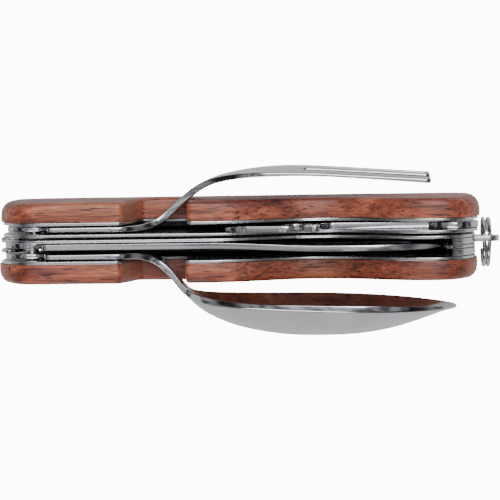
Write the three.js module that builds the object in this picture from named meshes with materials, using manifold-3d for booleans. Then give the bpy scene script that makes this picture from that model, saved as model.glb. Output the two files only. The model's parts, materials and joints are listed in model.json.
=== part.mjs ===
// Folding cutlery pocket tool, closed and standing on its spine.
// Millimetres. +X runs along the handle to the key ring, +Y runs through the stack to the fork,
// and +Z runs from the spine to the open slot side.
import * as THREE from 'three';
import { mergeVertices } from 'three/addons/utils/BufferGeometryUtils.js';
import Module from 'manifold-3d';

const wasm = await Module();
wasm.setup();

// Handle outline, seen from the side
const handleLength = 110;
const handleHeight = 28;
const cornerRadius = 10;
const grooveDepth = 7.5;
const grooveFromNotch = 3.3;
const grooveEndInset = 11.2;
const groovePeakShare = 0.526;

// Stack of layers, from the fork side to the spoon side
const linerThickness = 0.7;
const linerInset = 0.5;
const forkSpace = 2;
const knifeSpace = 1.6;
const spoonSpace = 1.85;
const springSlack = 0.1;
const halvesGap = 0.55;
const halvesOffset = 0.6;
const seatGap = 0.04;

// Wooden scales
const scaleThickness = 4.75;
const scaleCrown = 0.35;
const scaleRound = 0.9;
const scaleEndThickness = 2.4;
const scaleEndTaper = 5;

// Notch that lets a bent stem leave the handle, placed from the pivot
const notchFromPivot = 21.9;
const notchLength = 14.7;
const notchFloor = 15.5;
const notchStartSlope = 2.9;
const notchEndSlope = 0.3;
const notchRound = 1.4;
const notchFlare = 0.8;
const notchFlareDepth = 1.8;

// Pivots, pins and rivets, placed from the ends of the handle
const pivotInset = 7.4;
const openerPivotInset = 6.4;
const pivotZ = 17.5;
const tangRadius = 6.15;
const openerTangRadius = 6.1;
const pinRadius = 1.5;
const rivetRadius = 1.1;
const holeClearance = 0.06;
const roundSides = 20;
const rearRivetInset = 4;

// Back springs along the spine
const springHeight = 4.5;
const springFootLength = 8;
const springClearance = 0.3;
const springFromPivot = 0.7;
const springRivetX = 8;
const rearSpringRivetInset = 11;
const rivetZ = 2.25;

// Fork, placed from the pivot
const forkThickness = 1.25;
const forkNeckThickness = 1.5;
const forkHeadThickness = 1;
const stemWidth = 8.3;
const stemTop = 27.2;
const stemTaperFromPivot = 18.4;
const bendFromPivot = 25.3;
const neckWidth = 5.4;
const neckFromPivot = 33.2;
const neckZ = 19;
const headZ = 17;
const forkLength = 91.4;
const forkHeadWidth = 20.6;
const forkHeadFromPivot = 57.1;
const forkDish = 0.9;
const forkReach = 15.3;
const forkTipReach = 13.15;
const tineCount = 4;
const tineWidth = 3.1;
const tineLength = 29;
const tineTipWidth = 2;
const shoulderX = 3.9;
const shoulderRound = 1;

// Spoon, placed from the pivot; the keel is the deepest line of the bowl, seen from outside
const spoonThickness = 1.25;
const spoonNeckThickness = 1.45;
const bowlThickness = 0.95;
const bowlFromPivot = 65.4;
const bowlCentreZ = 17.7;
const bowlToTip = 32.4;
const bowlToNeck = 29.3;
const bowlHalfWidth = 15.3;
const bowlDepth = 7.7;
const bowlFullness = 2.2;
const bowlNeckFullness = 0.62;
const neckBlend = 2.5;
const rimReach = 13.5;
const rimSlope = 0.0395;

// Knife
const bladeThickness = 1.3;
const knifeTipGap = 2.6;
const knifeSpineZ = 30;
const knifeEdgeZ = 13;
const knifeTipZ = 25.5;
const knifeBellyLength = 18.5;
const knifeDropLength = 22.5;
const ricassoLength = 8;
const bevelShare = 0.62;
const knifeCrank = 0.95;
const crankFromPivot = 41.5;
const crankLength = 28;
const edgeThickness = 0.25;

// Opener, placed from its own pivot
const openerLength = 51.3;
const openerHookFromPivot = 29.7;
const openerTopZ = 31;
const openerThickness = 1.4;
const openerSetIn = 0.2;
const hookWidth = 3.4;
const mouthWidth = 1.3;
const mouthRadius = 3.3;
const driverLength = 3.5;
const driverThickness = 0.7;

// Studs, leaf, lug and ring
const studRadius = 1.2;
const studHeadRadius = 2;
const studHeadThickness = 0.5;
const keyholeClearance = 0.15;
const studX = 28;
const studZ = 8.8;
const slideTravel = 7;
const leafThickness = 0.34;
const leafInset = 1;
const leafLength = 4.2;
const leafHeight = 9;
const middleCutZ = 10.5;
const middleRiseInset = 15;
const middleRiseLength = 9;
const middleDipInset = 2;
const spacerInset = 6;
const lugOverhang = 2.4;
const lugHoleZ = 14.5;
const lugHoleRadius = 1.5;
const lugRadius = 2.8;
const ringOuterRadius = 5.83;
const wireDiameter = 0.9;
const ringLean = 13.6;
const ringJog = Math.PI / 4;
const ringTurnGap = 0.08;
const ringSplay = 0.45;
const ringSplayAngle = 1.25 * Math.PI;

// Values worked out from the dimensions above
const halfLength = handleLength / 2;
const linerReach = halfLength - linerInset;
const stackWidth = 5 * linerThickness + forkSpace + knifeSpace + spoonSpace + halvesGap;
const pinHole = pinRadius + holeClearance;
const rivetHole = rivetRadius + holeClearance;
const springFootTop = pivotZ - tangRadius - springClearance;
const pivotX = -halfLength + pivotInset;
const openerPivotX = halfLength - openerPivotInset;
const notchStart = pivotX + notchFromPivot;
const notchEnd = notchStart + notchLength;
const grooveStart = notchEnd + grooveFromNotch;
const grooveEnd = halfLength - grooveEndInset;
const bendX = pivotX + bendFromPivot;
const neckX = pivotX + neckFromPivot;
const stemTaperX = pivotX + stemTaperFromPivot;
const forkTipX = pivotX + forkLength;
const forkHeadX = pivotX + forkHeadFromPivot;
const tineRootX = forkTipX - tineLength;
const bowlCentreX = pivotX + bowlFromPivot;
const spoonTipX = bowlCentreX + bowlToTip;
const spacerX = halfLength - spacerInset;
const knifeTipX = spacerX - knifeTipGap;
const ricassoX = pivotX + ricassoLength;
const springStartX = pivotX + springFromPivot;
const springEndX = spacerX - springClearance;
const rearRivetX = halfLength - rearRivetInset;
const rearSpringRivetX = halfLength - rearSpringRivetInset;
const openerTipX = openerPivotX - openerLength;
const openerHookX = openerPivotX - openerHookFromPivot;
const leafStart = -halfLength + leafInset;
const middleRiseX = halfLength - middleRiseInset;
const middleDipX = -halfLength + middleDipInset;
const lugHoleX = halfLength + lugOverhang;

// Layers as [name, thickness], walked from the fork side down to the spoon side
const layers = {};
let level = stackWidth / 2;
for (const [name, thickness] of [
  ['forkOuterLiner', linerThickness],
  ['fork', forkSpace],
  ['forkInnerLiner', linerThickness],
  ['gap', halvesGap],
  ['knifeInnerLiner', linerThickness],
  ['knife', knifeSpace],
  ['middleLiner', linerThickness],
  ['spoon', spoonSpace],
  ['spoonOuterLiner', linerThickness],
]) {
  layers[name] = { high: level, low: level - thickness, mid: level - thickness / 2 };
  level -= thickness;
}

// Materials
function steel(colour, roughness) {
  return new THREE.MeshStandardMaterial({ color: colour, roughness, metalness: 1 });
}
const wood = new THREE.MeshStandardMaterial({ color: 0x8a4a38, roughness: 0.6, metalness: 0 });
const polished = steel(0xc9cbcd, 0.18);
const brushed = steel(0xb4b6b8, 0.32);
const pinSteel = steel(0xa9abad, 0.28);

// Solids: closed meshes go in, joins and cuts are made, and a geometry comes out
function solidOf(geometry) {
  const bare = geometry.clone();
  for (const name of ['normal', 'uv']) {
    bare.deleteAttribute(name);
  }
  const merged = mergeVertices(bare, 1e-5);
  return new wasm.Manifold(new wasm.Mesh({
    numProp: 3,
    vertProperties: new Float32Array(merged.attributes.position.array),
    triVerts: new Uint32Array(merged.index.array),
  }));
}

function geometryOf(solid) {
  const mesh = solid.getMesh();
  const geometry = new THREE.BufferGeometry();
  geometry.setAttribute('position', new THREE.BufferAttribute(mesh.vertProperties, 3));
  geometry.setIndex(new THREE.BufferAttribute(mesh.triVerts, 1));
  geometry.computeVertexNormals();
  return geometry;
}

function signedVolume(points, faces) {
  let sum = 0;
  const a = new THREE.Vector3();
  const b = new THREE.Vector3();
  const c = new THREE.Vector3();
  for (const [i, j, k] of faces) {
    a.fromArray(points[i]);
    b.fromArray(points[j]);
    c.fromArray(points[k]);
    sum += a.dot(b.cross(c));
  }
  return sum;
}

// A closed mesh from points and faces, turned so that its faces point out
function closedMesh(points, faces) {
  const outward = signedVolume(points, faces) > 0;
  const index = faces.flatMap(([i, j, k]) => (outward ? [i, j, k] : [i, k, j]));
  const geometry = new THREE.BufferGeometry();
  geometry.setAttribute('position', new THREE.Float32BufferAttribute(points.flat(), 3));
  geometry.setIndex(index);
  return geometry;
}

// A flat plate: a shape drawn in X and Z, given its thickness between two heights in Y
function plate(shape, low, high) {
  const geometry = new THREE.ExtrudeGeometry(shape, {
    depth: high - low,
    bevelEnabled: false,
    curveSegments: 7,
  });
  geometry.rotateX(Math.PI / 2);
  geometry.translate(0, high, 0);
  return solidOf(geometry);
}

// A plate that fills its layer of the stack, less a little slack on each side
function plateInLayer(shape, layer) {
  return plate(shape, layer.low + springSlack / 2, layer.high - springSlack / 2);
}

// A round bar along Y
function bar(x, z, radius, low, high) {
  const geometry = new THREE.CylinderGeometry(radius, radius, high - low, roundSides);
  geometry.translate(x, (low + high) / 2, z);
  return solidOf(geometry);
}

// A tool for drilling through the whole stack
function drill(x, z, radius) {
  return bar(x, z, radius, -stackWidth, stackWidth);
}

// Rings of points joined into a closed skin, with a flat cap fanned around each end's middle
function loft(rings) {
  const count = rings[0].length;
  const last = (rings.length - 1) * count;
  const points = rings.flat();
  const faces = [];
  for (let i = 0; i < last; i += count) {
    for (let j = 0; j < count; j += 1) {
      const next = (j + 1) % count;
      faces.push([i + j, i + next, i + j + count], [i + next, i + next + count, i + j + count]);
    }
  }
  for (const [start, ring] of [[0, rings[0]], [last, rings.at(-1)]]) {
    const middle = [0, 1, 2].map((axis) => ring.reduce((sum, point) => sum + point[axis], 0) / count);
    points.push(middle);
    for (let j = 0; j < count; j += 1) {
      const next = (j + 1) % count;
      const edge = start === 0 ? [start + next, start + j] : [start + j, start + next];
      faces.push([points.length - 1, ...edge]);
    }
  }
  return solidOf(closedMesh(points, faces));
}

// Handle outline: the corners are quarter circles and the slot side has the finger groove
function groove(x) {
  if (x <= grooveStart || x >= grooveEnd) {
    return 0;
  }
  const length = grooveEnd - grooveStart;
  const skew = Math.log(0.5) / Math.log(groovePeakShare);
  return grooveDepth * Math.sin(Math.PI * ((x - grooveStart) / length) ** skew) ** 2;
}

function cornerDrop(x, reach) {
  const inside = Math.max(0, cornerRadius - (reach - Math.abs(x)));
  return cornerRadius - Math.sqrt(Math.max(0, cornerRadius ** 2 - inside ** 2));
}

function frontEdge(x, reach) {
  return handleHeight - groove(x) - cornerDrop(x, reach);
}

function outlineStations(reach) {
  const corner = [];
  const cornerSteps = 6;
  for (let i = cornerSteps; i >= 0; i -= 1) {
    corner.push(reach - cornerRadius * (1 - Math.cos((i / cornerSteps) * (Math.PI / 2))));
  }
  const middle = [];
  const grooveSteps = 14;
  for (let i = 0; i <= grooveSteps; i += 1) {
    middle.push(grooveStart + ((grooveEnd - grooveStart) * i) / grooveSteps);
  }
  const all = [...new Set([...corner.map((x) => -x), ...middle, ...corner])].sort((a, b) => a - b);
  return { corner, all };
}

function linerShape(front = frontEdge) {
  const { corner, all } = outlineStations(linerReach);
  const points = all.map((x) => new THREE.Vector2(x, front(x, linerReach)));
  for (const x of [...corner].reverse()) {
    points.push(new THREE.Vector2(x, cornerDrop(x, linerReach)));
  }
  for (const x of corner) {
    points.push(new THREE.Vector2(-x, cornerDrop(x, linerReach)));
  }
  return new THREE.Shape(points);
}

// The notch in a scale and its liner: sloping walls, round floor corners, flared at the outer face
function notchTool() {
  const above = handleHeight + 5;
  const shape = new THREE.Shape();
  const foot = notchStart + notchStartSlope;
  const heel = notchEnd - notchEndSlope;
  const lean = notchRound / (handleHeight - notchFloor);
  shape.moveTo(notchStart, above);
  shape.lineTo(notchStart, handleHeight);
  shape.lineTo(foot - notchStartSlope * lean, notchFloor + notchRound);
  shape.quadraticCurveTo(foot, notchFloor, foot + notchRound, notchFloor);
  shape.lineTo(heel - notchRound, notchFloor);
  shape.quadraticCurveTo(heel, notchFloor, heel + notchEndSlope * lean, notchFloor + notchRound);
  shape.lineTo(notchEnd, handleHeight);
  shape.lineTo(notchEnd, above);
  shape.closePath();
  const outline = shape.getPoints(5).slice(0, -1);
  const outerFace = stackWidth / 2 + seatGap + scaleThickness - scaleCrown;
  const middle = (notchStart + notchEnd) / 2;
  const ring = (y, flare) => outline.map((point) => [
    middle + (point.x - middle) * (1 + (2 * flare) / notchLength),
    y,
    above + (point.y - above) * (1 + flare / (above - notchFloor)),
  ]);
  const half = [
    [outerFace - notchFlareDepth, 0],
    [outerFace - notchFlareDepth / 2, notchFlare * 0.15],
    [outerFace - notchFlareDepth / 6, notchFlare * 0.5],
    [outerFace + 1, notchFlare * 1.8],
  ];
  const mirrored = half.map(([y, flare]) => [-y, flare]).reverse();
  return loft([...mirrored, ...half].map(([y, flare]) => ring(y, flare)));
}
const notch = notchTool();

// Wooden scale: flat inside, slightly crowned outside, with round edges and tapering ends
function scaleRing(x, side) {
  const fromEnd = Math.min(1, (halfLength - Math.abs(x)) / scaleEndTaper);
  const swell = Math.sqrt(1 - (1 - fromEnd) ** 2);
  const thickness = scaleEndThickness + (scaleThickness - scaleEndThickness) * swell;
  const crown = scaleCrown * swell;
  const round = Math.min(scaleRound, thickness * 0.45);
  const low = cornerDrop(x, halfLength);
  const high = frontEdge(x, halfLength);
  const face = stackWidth / 2 + seatGap;
  const outer = [];
  for (let i = 0; i <= 2; i += 1) {
    const angle = (Math.PI / 2) * (1 - i / 2);
    outer.push([thickness - crown - round * (1 - Math.cos(angle)), high - round * (1 - Math.sin(angle))]);
  }
  const tall = high - low - 2 * round;
  for (let i = 1; i < 4; i += 1) {
    const across = 1 - i / 2;
    outer.push([thickness - crown * across ** 2, (high + low) / 2 + (across * tall) / 2]);
  }
  for (let i = 0; i <= 2; i += 1) {
    const angle = (Math.PI / 2) * (i / 2);
    outer.push([thickness - crown - round * (1 - Math.cos(angle)), low + round * (1 - Math.sin(angle))]);
  }
  const ring = [[0, low], [0, high], ...outer];
  return ring.map(([y, z]) => [x, side * (face + y), z]);
}

function scale(side) {
  const endSteps = [0.15, 0.5].map((step) => halfLength - step);
  const { all } = outlineStations(halfLength);
  const between = [];
  for (let x = -halfLength + cornerRadius + 6; x < grooveStart - 4; x += 9) {
    between.push(x);
  }
  const stations = [...new Set([...all, ...between, ...endSteps, ...endSteps.map((x) => -x)])];
  stations.sort((a, b) => a - b);
  return loft(stations.map((x) => scaleRing(x, side))).subtract(notch);
}

// Liners
function liner(layer, shape, holes) {
  return holes.reduce((solid, [x, z, radius]) => solid.subtract(drill(x, z, radius)),
    plate(shape, layer.low, layer.high));
}

// The middle liner is cut back below the blade and runs up again at both ends
function middleLinerFront(x, reach) {
  const full = frontEdge(x, reach);
  const rise = THREE.MathUtils.smoothstep(x, middleRiseX, middleRiseX + middleRiseLength);
  const dip = 1 - THREE.MathUtils.smoothstep(x, middleDipX, middleDipX + middleRiseLength);
  const kept = Math.max(rise, dip);
  return Math.min(full, middleCutZ + (full - middleCutZ) * kept);
}

// Tangs
function tangStart(shape, x, lowerAngle, upperAngle, radius) {
  shape.absarc(x, pivotZ, radius, lowerAngle, upperAngle - 2 * Math.PI, true);
}

// A smooth curve y(x) through points: a natural cubic spline
function smoothCurve(points) {
  const last = points.length - 1;
  const width = (i) => points[i + 1][0] - points[i][0];
  const slope = (i) => (points[i + 1][1] - points[i][1]) / width(i);
  const bend = new Array(last + 1).fill(0);
  const share = new Array(last + 1).fill(0);
  for (let i = 1; i < last; i += 1) {
    const pivot = 2 * (width(i - 1) + width(i)) - width(i - 1) * share[i - 1];
    share[i] = width(i) / pivot;
    bend[i] = (6 * (slope(i) - slope(i - 1)) - width(i - 1) * bend[i - 1]) / pivot;
  }
  for (let i = last - 1; i > 0; i -= 1) {
    bend[i] -= share[i] * bend[i + 1];
  }
  return (x) => {
    const found = points.findIndex((point) => point[0] > x) - 1;
    const i = found === -2 ? last - 1 : Math.max(0, found);
    const before = (x - points[i][0]) / width(i);
    const after = 1 - before;
    const pull = width(i) ** 2 / 6;
    return after * points[i][1] + before * points[i + 1][1]
      + pull * ((after ** 3 - after) * bend[i] + (before ** 3 - before) * bend[i + 1]);
  };
}

// A sheet of steel: middle(x, z) gives its middle in Y, edges(x) its reach in Z, thickness(x) its gauge
function sheetLoft(stations, edges, middle, thickness) {
  const across = 10;
  const step = 0.01;
  const steepestShare = 1.45;
  const rings = stations.map((x) => {
    const [low, high] = edges(x);
    const skins = [[], []];
    for (let j = 0; j <= across; j += 1) {
      const z = (low + high) / 2 - ((high - low) / 2) * Math.cos((Math.PI * j) / across);
      const alongX = (middle(x + step, z) - middle(x - step, z)) / (2 * step);
      const inward = j === 0 ? 1 : -1;
      const alongZ = ((middle(x, z + inward * step) - middle(x, z)) / step) * inward;
      const half = (thickness(x) / 2) * Math.min(steepestShare, Math.hypot(1, alongX, alongZ));
      const y = middle(x, z);
      skins[0].push([x, y - half, z]);
      skins[1].unshift([x, y + half, z]);
    }
    return skins.flat();
  });
  return loft(rings);
}

function evenSteps(start, end, count) {
  return Array.from({ length: count + 1 }, (_, i) => start + ((end - start) * i) / count);
}

// The tang and tapering stem that fork and spoon share, as far as the neck
function stemShape() {
  const shape = new THREE.Shape();
  const stemFoot = stemTop - stemWidth;
  const lower = Math.asin((stemFoot - pivotZ) / tangRadius);
  const upper = Math.acos(shoulderX / tangRadius);
  shape.moveTo(pivotX + tangRadius * Math.cos(lower), stemFoot);
  tangStart(shape, pivotX, lower, upper, tangRadius);
  const shoulder = pivotX + shoulderX + 0.6;
  shape.lineTo(shoulder - 0.1, stemTop - shoulderRound);
  shape.quadraticCurveTo(shoulder, stemTop, shoulder + shoulderRound, stemTop);
  shape.lineTo(stemTaperX, stemTop);
  const neckTop = neckZ + neckWidth / 2;
  const middle = (stemTaperX + neckX) / 2;
  shape.bezierCurveTo(middle, stemTop, middle - 1, neckTop, neckX, neckTop);
  return shape;
}

function closeStem(shape) {
  const stemFoot = stemTop - stemWidth;
  const neckFoot = neckZ - neckWidth / 2;
  const middle = (stemTaperX + neckX) / 2;
  shape.bezierCurveTo(middle - 1, neckFoot, middle, stemFoot, stemTaperX, stemFoot);
  shape.closePath();
}

// Fork
function forkShape() {
  const shape = stemShape();
  const half = forkHeadWidth / 2;
  const neckHalf = neckWidth / 2;
  const between = (forkHeadX + neckX) / 2;
  shape.bezierCurveTo(between, neckZ + neckHalf, between, headZ + half, forkHeadX, headZ + half);
  const pitch = (forkHeadWidth - tineWidth) / (tineCount - 1);
  const slot = (pitch - tineWidth) / 2;
  for (let i = 0; i < tineCount; i += 1) {
    const centre = headZ + half - tineWidth / 2 - i * pitch;
    const tip = tineTipWidth / 2;
    shape.lineTo(forkTipX - tip * 1.6, centre + tip);
    shape.quadraticCurveTo(forkTipX, centre + tip, forkTipX, centre);
    shape.quadraticCurveTo(forkTipX, centre - tip, forkTipX - tip * 1.6, centre - tip);
    if (i + 1 < tineCount) {
      shape.lineTo(tineRootX + slot, centre - tineWidth / 2);
      shape.absarc(tineRootX + slot, centre - pitch / 2, slot, Math.PI / 2, -Math.PI / 2, false);
    }
  }
  shape.lineTo(forkHeadX, headZ - half);
  shape.bezierCurveTo(between, headZ - half, between, neckZ - neckHalf, neckX, neckZ - neckHalf);
  closeStem(shape);
  return shape;
}

// The fork leaves its layer at the bend and runs back beside the handle to the tines
function makeFork() {
  const start = layers.fork.mid;
  const side = smoothCurve([
    [pivotX - tangRadius - 1, start],
    [bendX - 10, start],
    [bendX - 3, start],
    [bendX + 4.45, start + 1.63],
    [bendX + 9.2, start + 5.68],
    [bendX + 13.9, start + 9.15],
    [bendX + 19.8, forkReach - 1.14],
    [forkHeadX - 0.8, forkReach],
    [forkHeadX + 16, forkReach - 0.65],
    [forkTipX + 1, forkTipReach],
  ]);
  const half = forkHeadWidth / 2;
  const middle = (x, z) => side(x) + forkDish * THREE.MathUtils.smoothstep(x, neckX, forkHeadX + 4)
    * Math.max(0, 1 - ((z - headZ) / half) ** 2);
  const stations = [
    ...evenSteps(pivotX - tangRadius - 1, bendX - 6, 2),
    ...evenSteps(bendX - 4, bendX + 24, 20),
    ...evenSteps(bendX + 28, forkTipX + 1, 8),
  ];
  const thickness = smoothCurve([
    [pivotX - tangRadius - 1, forkThickness],
    [bendX - 6, forkThickness],
    [neckX, forkNeckThickness],
    [neckX + 5, forkNeckThickness],
    [forkHeadX - 2, forkHeadThickness],
    [forkTipX + 1, forkHeadThickness],
  ]);
  const sheet = sheetLoft(stations, () => [headZ - half - 2, stemTop + 3], middle, thickness);
  const outline = plate(forkShape(), 0, forkReach + 5);
  return sheet.intersect(outline).subtract(drill(pivotX, pivotZ, pinHole));
}

// Spoon: the outline of the bowl swells smoothly out of the neck
function bowlReach(x) {
  const along = (x - bowlCentreX) / (x > bowlCentreX ? bowlToTip : bowlToNeck);
  const power = x > bowlCentreX ? 0.5 : bowlNeckFullness;
  const oval = bowlHalfWidth * Math.max(0, 1 - along ** 2) ** power;
  if (x > bowlCentreX) {
    return oval;
  }
  const share = THREE.MathUtils.clamp(0.5 + (oval - neckWidth / 2) / (2 * neckBlend), 0, 1);
  return neckWidth / 2 + (oval - neckWidth / 2) * share + neckBlend * share * (1 - share);
}

function bowlMiddle(x) {
  const toNeck = THREE.MathUtils.smoothstep(-x, -bowlCentreX, -neckX);
  return bowlCentreZ + (neckZ - bowlCentreZ) * toNeck;
}

// Two side curves shape the spoon: along the rim, and along the keel of the bowl
function makeSpoon() {
  const start = layers.spoon.mid;
  const stem = [
    [pivotX - tangRadius - 1, start],
    [bendX - 10, start],
    [bendX - 3, start],
    [bendX + 3.7, start - 1.3],
    [bendX + 7.7, start - 5],
    [bendX + 10.6, start - 8.5],
  ];
  const rimY = (x) => -rimReach - rimSlope * (x - neckX - 4);
  const rim = smoothCurve([
    ...stem,
    [bendX + 14, -rimReach + 0.35],
    [bendX + 20, rimY(bendX + 20)],
    [bowlCentreX, rimY(bowlCentreX)],
    [spoonTipX + 1, rimY(spoonTipX + 1)],
  ]);
  const deepest = rimY(bowlCentreX) - bowlDepth + bowlThickness / 2;
  const keel = smoothCurve([
    ...stem,
    [bendX + 13.8, deepest + 6.9],
    [bendX + 17.5, deepest + 4.5],
    [bendX + 21.9, deepest + 2.6],
    [bendX + 27.5, deepest + 1.15],
    [bowlCentreX - 6, deepest + 0.2],
    [bowlCentreX + 1, deepest],
    [bowlCentreX + 8, deepest + 0.22],
    [bowlCentreX + 19, deepest + 2],
    [bowlCentreX + 27, deepest + 4.55],
    [spoonTipX, rimY(spoonTipX) - 0.05],
    [spoonTipX + 1, rimY(spoonTipX + 1)],
  ]);
  const middle = (x, z) => {
    const across = Math.min(1, Math.abs(z - bowlMiddle(x)) / bowlReach(x));
    return rim(x) + Math.min(0, keel(x) - rim(x)) * (1 - across ** bowlFullness);
  };
  const edges = (x) => (x < neckX
    ? [pivotZ - tangRadius - 1, stemTop + 1]
    : [bowlMiddle(x) - bowlReach(x), bowlMiddle(x) + bowlReach(x)]);
  const thickness = smoothCurve([
    [pivotX - tangRadius - 1, spoonThickness],
    [bendX - 6, spoonThickness],
    [neckX, spoonNeckThickness],
    [neckX + 14, bowlThickness],
    [bowlCentreX, bowlThickness],
    [bowlCentreX + bowlToTip * 0.8, bowlThickness],
    [spoonTipX, bowlThickness * 0.72],
  ]);
  const tipSteps = [0.9, 0.955, 0.982, 0.995, 0.9995].map((share) => bowlCentreX + bowlToTip * share);
  const stations = [
    ...evenSteps(pivotX - tangRadius - 1, bendX - 6, 2),
    ...evenSteps(bendX - 4, neckX - 0.01, 8),
    ...evenSteps(neckX, bendX + 20, 10),
    ...evenSteps(bendX + 23, bowlCentreX + bowlToTip * 0.82, 14),
    ...tipSteps,
  ];
  const sheet = sheetLoft(stations, edges, middle, thickness);
  const shape = stemShape();
  const wide = bowlHalfWidth + 2;
  shape.lineTo(neckX, bowlCentreZ + wide);
  shape.lineTo(spoonTipX + 1, bowlCentreZ + wide);
  shape.lineTo(spoonTipX + 1, bowlCentreZ - wide);
  shape.lineTo(neckX, bowlCentreZ - wide);
  shape.lineTo(neckX, neckZ - neckWidth / 2);
  closeStem(shape);
  const outline = plate(shape, -rimReach - 2 * bowlDepth, 0);
  return sheet.intersect(outline).subtract(drill(pivotX, pivotZ, pinHole));
}

// Knife
function knifeEdge(x) {
  const along = Math.max(0, 1 - (knifeTipX - x) / knifeBellyLength);
  return knifeEdgeZ + (knifeTipZ - knifeEdgeZ) * along ** 2.2;
}

function knifeSpine(x) {
  const along = Math.max(0, 1 - (knifeTipX - x) / knifeDropLength);
  return knifeSpineZ - (knifeSpineZ - knifeTipZ) * along ** 1.8;
}

function knifeShape() {
  const shape = new THREE.Shape();
  const lower = Math.asin((knifeEdgeZ - pivotZ) / tangRadius);
  const upper = Math.acos(shoulderX / tangRadius);
  shape.moveTo(pivotX + tangRadius * Math.cos(lower), knifeEdgeZ);
  tangStart(shape, pivotX, lower, upper, tangRadius);
  const shoulder = pivotX + shoulderX + 0.5;
  shape.lineTo(shoulder - 0.1, knifeSpineZ - shoulderRound);
  shape.quadraticCurveTo(shoulder, knifeSpineZ, shoulder + shoulderRound, knifeSpineZ);
  const steps = 10;
  for (let i = 0; i <= steps; i += 1) {
    const x = knifeTipX - knifeDropLength * (1 - i / steps);
    shape.lineTo(x, knifeSpine(x));
  }
  for (let i = steps; i >= 0; i -= 1) {
    const x = knifeTipX - knifeBellyLength * (1 - i / steps);
    shape.lineTo(x, knifeEdge(x));
  }
  shape.closePath();
  return shape;
}

function makeKnife() {
  const rings = [];
  const stations = [pivotX - tangRadius - 1, ricassoX, ricassoX + 3];
  const crankStart = pivotX + crankFromPivot;
  for (let x = crankStart; x < knifeTipX; x += 4) {
    stations.push(x);
  }
  stations.push(knifeTipX + 0.5);
  for (const x of stations) {
    const cranked = THREE.MathUtils.smoothstep(x, crankStart, crankStart + crankLength);
    const centre = layers.knife.mid - knifeCrank * cranked;
    const ground = x > ricassoX;
    const half = bladeThickness / 2;
    const edgeHalf = ground ? edgeThickness / 2 : half;
    const foot = ground ? knifeEdge(Math.min(x, knifeTipX)) - 0.1 : pivotZ - tangRadius - 1;
    const head = knifeSpineZ + 1;
    const bevel = ground ? foot + (head - foot) * bevelShare : foot + 5;
    rings.push([
      [x, centre - half, head],
      [x, centre + half, head],
      [x, centre + half, bevel],
      [x, centre + edgeHalf, foot],
      [x, centre - edgeHalf, foot],
      [x, centre - half, bevel],
    ]);
  }
  const outline = plate(knifeShape(), -stackWidth, stackWidth);
  return loft(rings).intersect(outline).subtract(drill(pivotX, pivotZ, pinHole));
}

// Opener
function openerShape() {
  const shape = new THREE.Shape();
  const shankTop = pivotZ + 3;
  const shankFoot = pivotZ - 4;
  const upper = Math.PI - Math.asin(3 / openerTangRadius);
  const lower = -Math.PI + Math.asin(4 / openerTangRadius);
  shape.moveTo(openerPivotX + openerTangRadius * Math.cos(lower), shankFoot);
  shape.absarc(openerPivotX, pivotZ, openerTangRadius, lower, upper, false);
  shape.lineTo(openerHookX + 3, shankTop);
  shape.quadraticCurveTo(openerHookX + 0.4, shankTop, openerHookX, shankTop + 4);
  shape.lineTo(openerHookX, openerTopZ - 1.2);
  shape.quadraticCurveTo(openerHookX, openerTopZ, openerHookX - 1.4, openerTopZ);
  shape.lineTo(openerHookX - hookWidth, openerTopZ - 0.3);
  shape.lineTo(openerHookX - hookWidth, openerTopZ - 1.6);
  const mouthX = openerHookX - hookWidth - mouthWidth;
  const cutX = mouthX - 0.6;
  const cutZ = openerTopZ - 1.6 - mouthRadius;
  shape.absarc(cutX, cutZ, mouthRadius, Math.atan2(mouthRadius, mouthWidth + 0.6), Math.PI * 0.6, true);
  shape.lineTo(mouthX - 1.6, openerTopZ - 0.4);
  shape.quadraticCurveTo(mouthX - 2.4, openerTopZ, mouthX - 4, openerTopZ);
  shape.lineTo(openerTipX + 5, openerTopZ - 0.8);
  shape.quadraticCurveTo(openerTipX + 1, openerTopZ - 1.4, openerTipX, openerTopZ - 3.6);
  shape.lineTo(openerTipX, openerTopZ - 9.5);
  const belly = openerTipX + 5;
  shape.bezierCurveTo(belly, openerTopZ - 14, belly + 4, shankFoot + 0.6, openerHookX + 2, shankFoot);
  shape.closePath();
  return shape;
}

function makeOpener() {
  const half = openerThickness / 2;
  const mid = layers.fork.mid - openerSetIn;
  const driverEnd = openerTipX + driverLength;
  const stations = [openerTipX - 0.5, openerTipX, driverEnd, openerPivotX + openerTangRadius + 1];
  const halves = [driverThickness / 2, driverThickness / 2, half, half];
  const rings = stations.map((x, i) => [
    [x, mid - halves[i], 0],
    [x, mid + halves[i], 0],
    [x, mid + halves[i], handleHeight + 10],
    [x, mid - halves[i], handleHeight + 10],
  ]);
  const outline = plate(openerShape(), -stackWidth, stackWidth);
  return loft(rings).intersect(outline).subtract(drill(openerPivotX, pivotZ, pinHole));
}

// Springs: a bar along the spine with a raised foot under each tang that it works on
function springShape(startX, endX, footAtEnd) {
  const shape = new THREE.Shape();
  const foot = springFootTop;
  const lead = 3;
  shape.moveTo(startX, springLift(startX));
  shape.lineTo(startX, foot - 0.6);
  shape.lineTo(startX + 0.6, foot);
  shape.lineTo(startX + springFootLength - lead, foot - 0.4);
  shape.bezierCurveTo(startX + springFootLength, foot - 0.6, startX + springFootLength, springHeight,
    startX + springFootLength + 2 * lead, springHeight);
  if (footAtEnd) {
    const start = endX - springFootLength;
    shape.lineTo(start - 2 * lead, springHeight);
    shape.bezierCurveTo(start, springHeight, start, foot - 0.6, start + lead, foot - 0.4);
    shape.lineTo(endX - 0.6, foot);
    shape.lineTo(endX, foot - 0.6);
  } else {
    shape.lineTo(endX, springHeight);
  }
  shape.lineTo(endX, springLift(endX));
  shape.lineTo(Math.min(endX, linerReach - cornerRadius), 0);
  shape.lineTo(-linerReach + cornerRadius, 0);
  shape.closePath();
  return shape;
}

function springLift(x) {
  return cornerDrop(x, linerReach) + 0.02;
}

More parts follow.
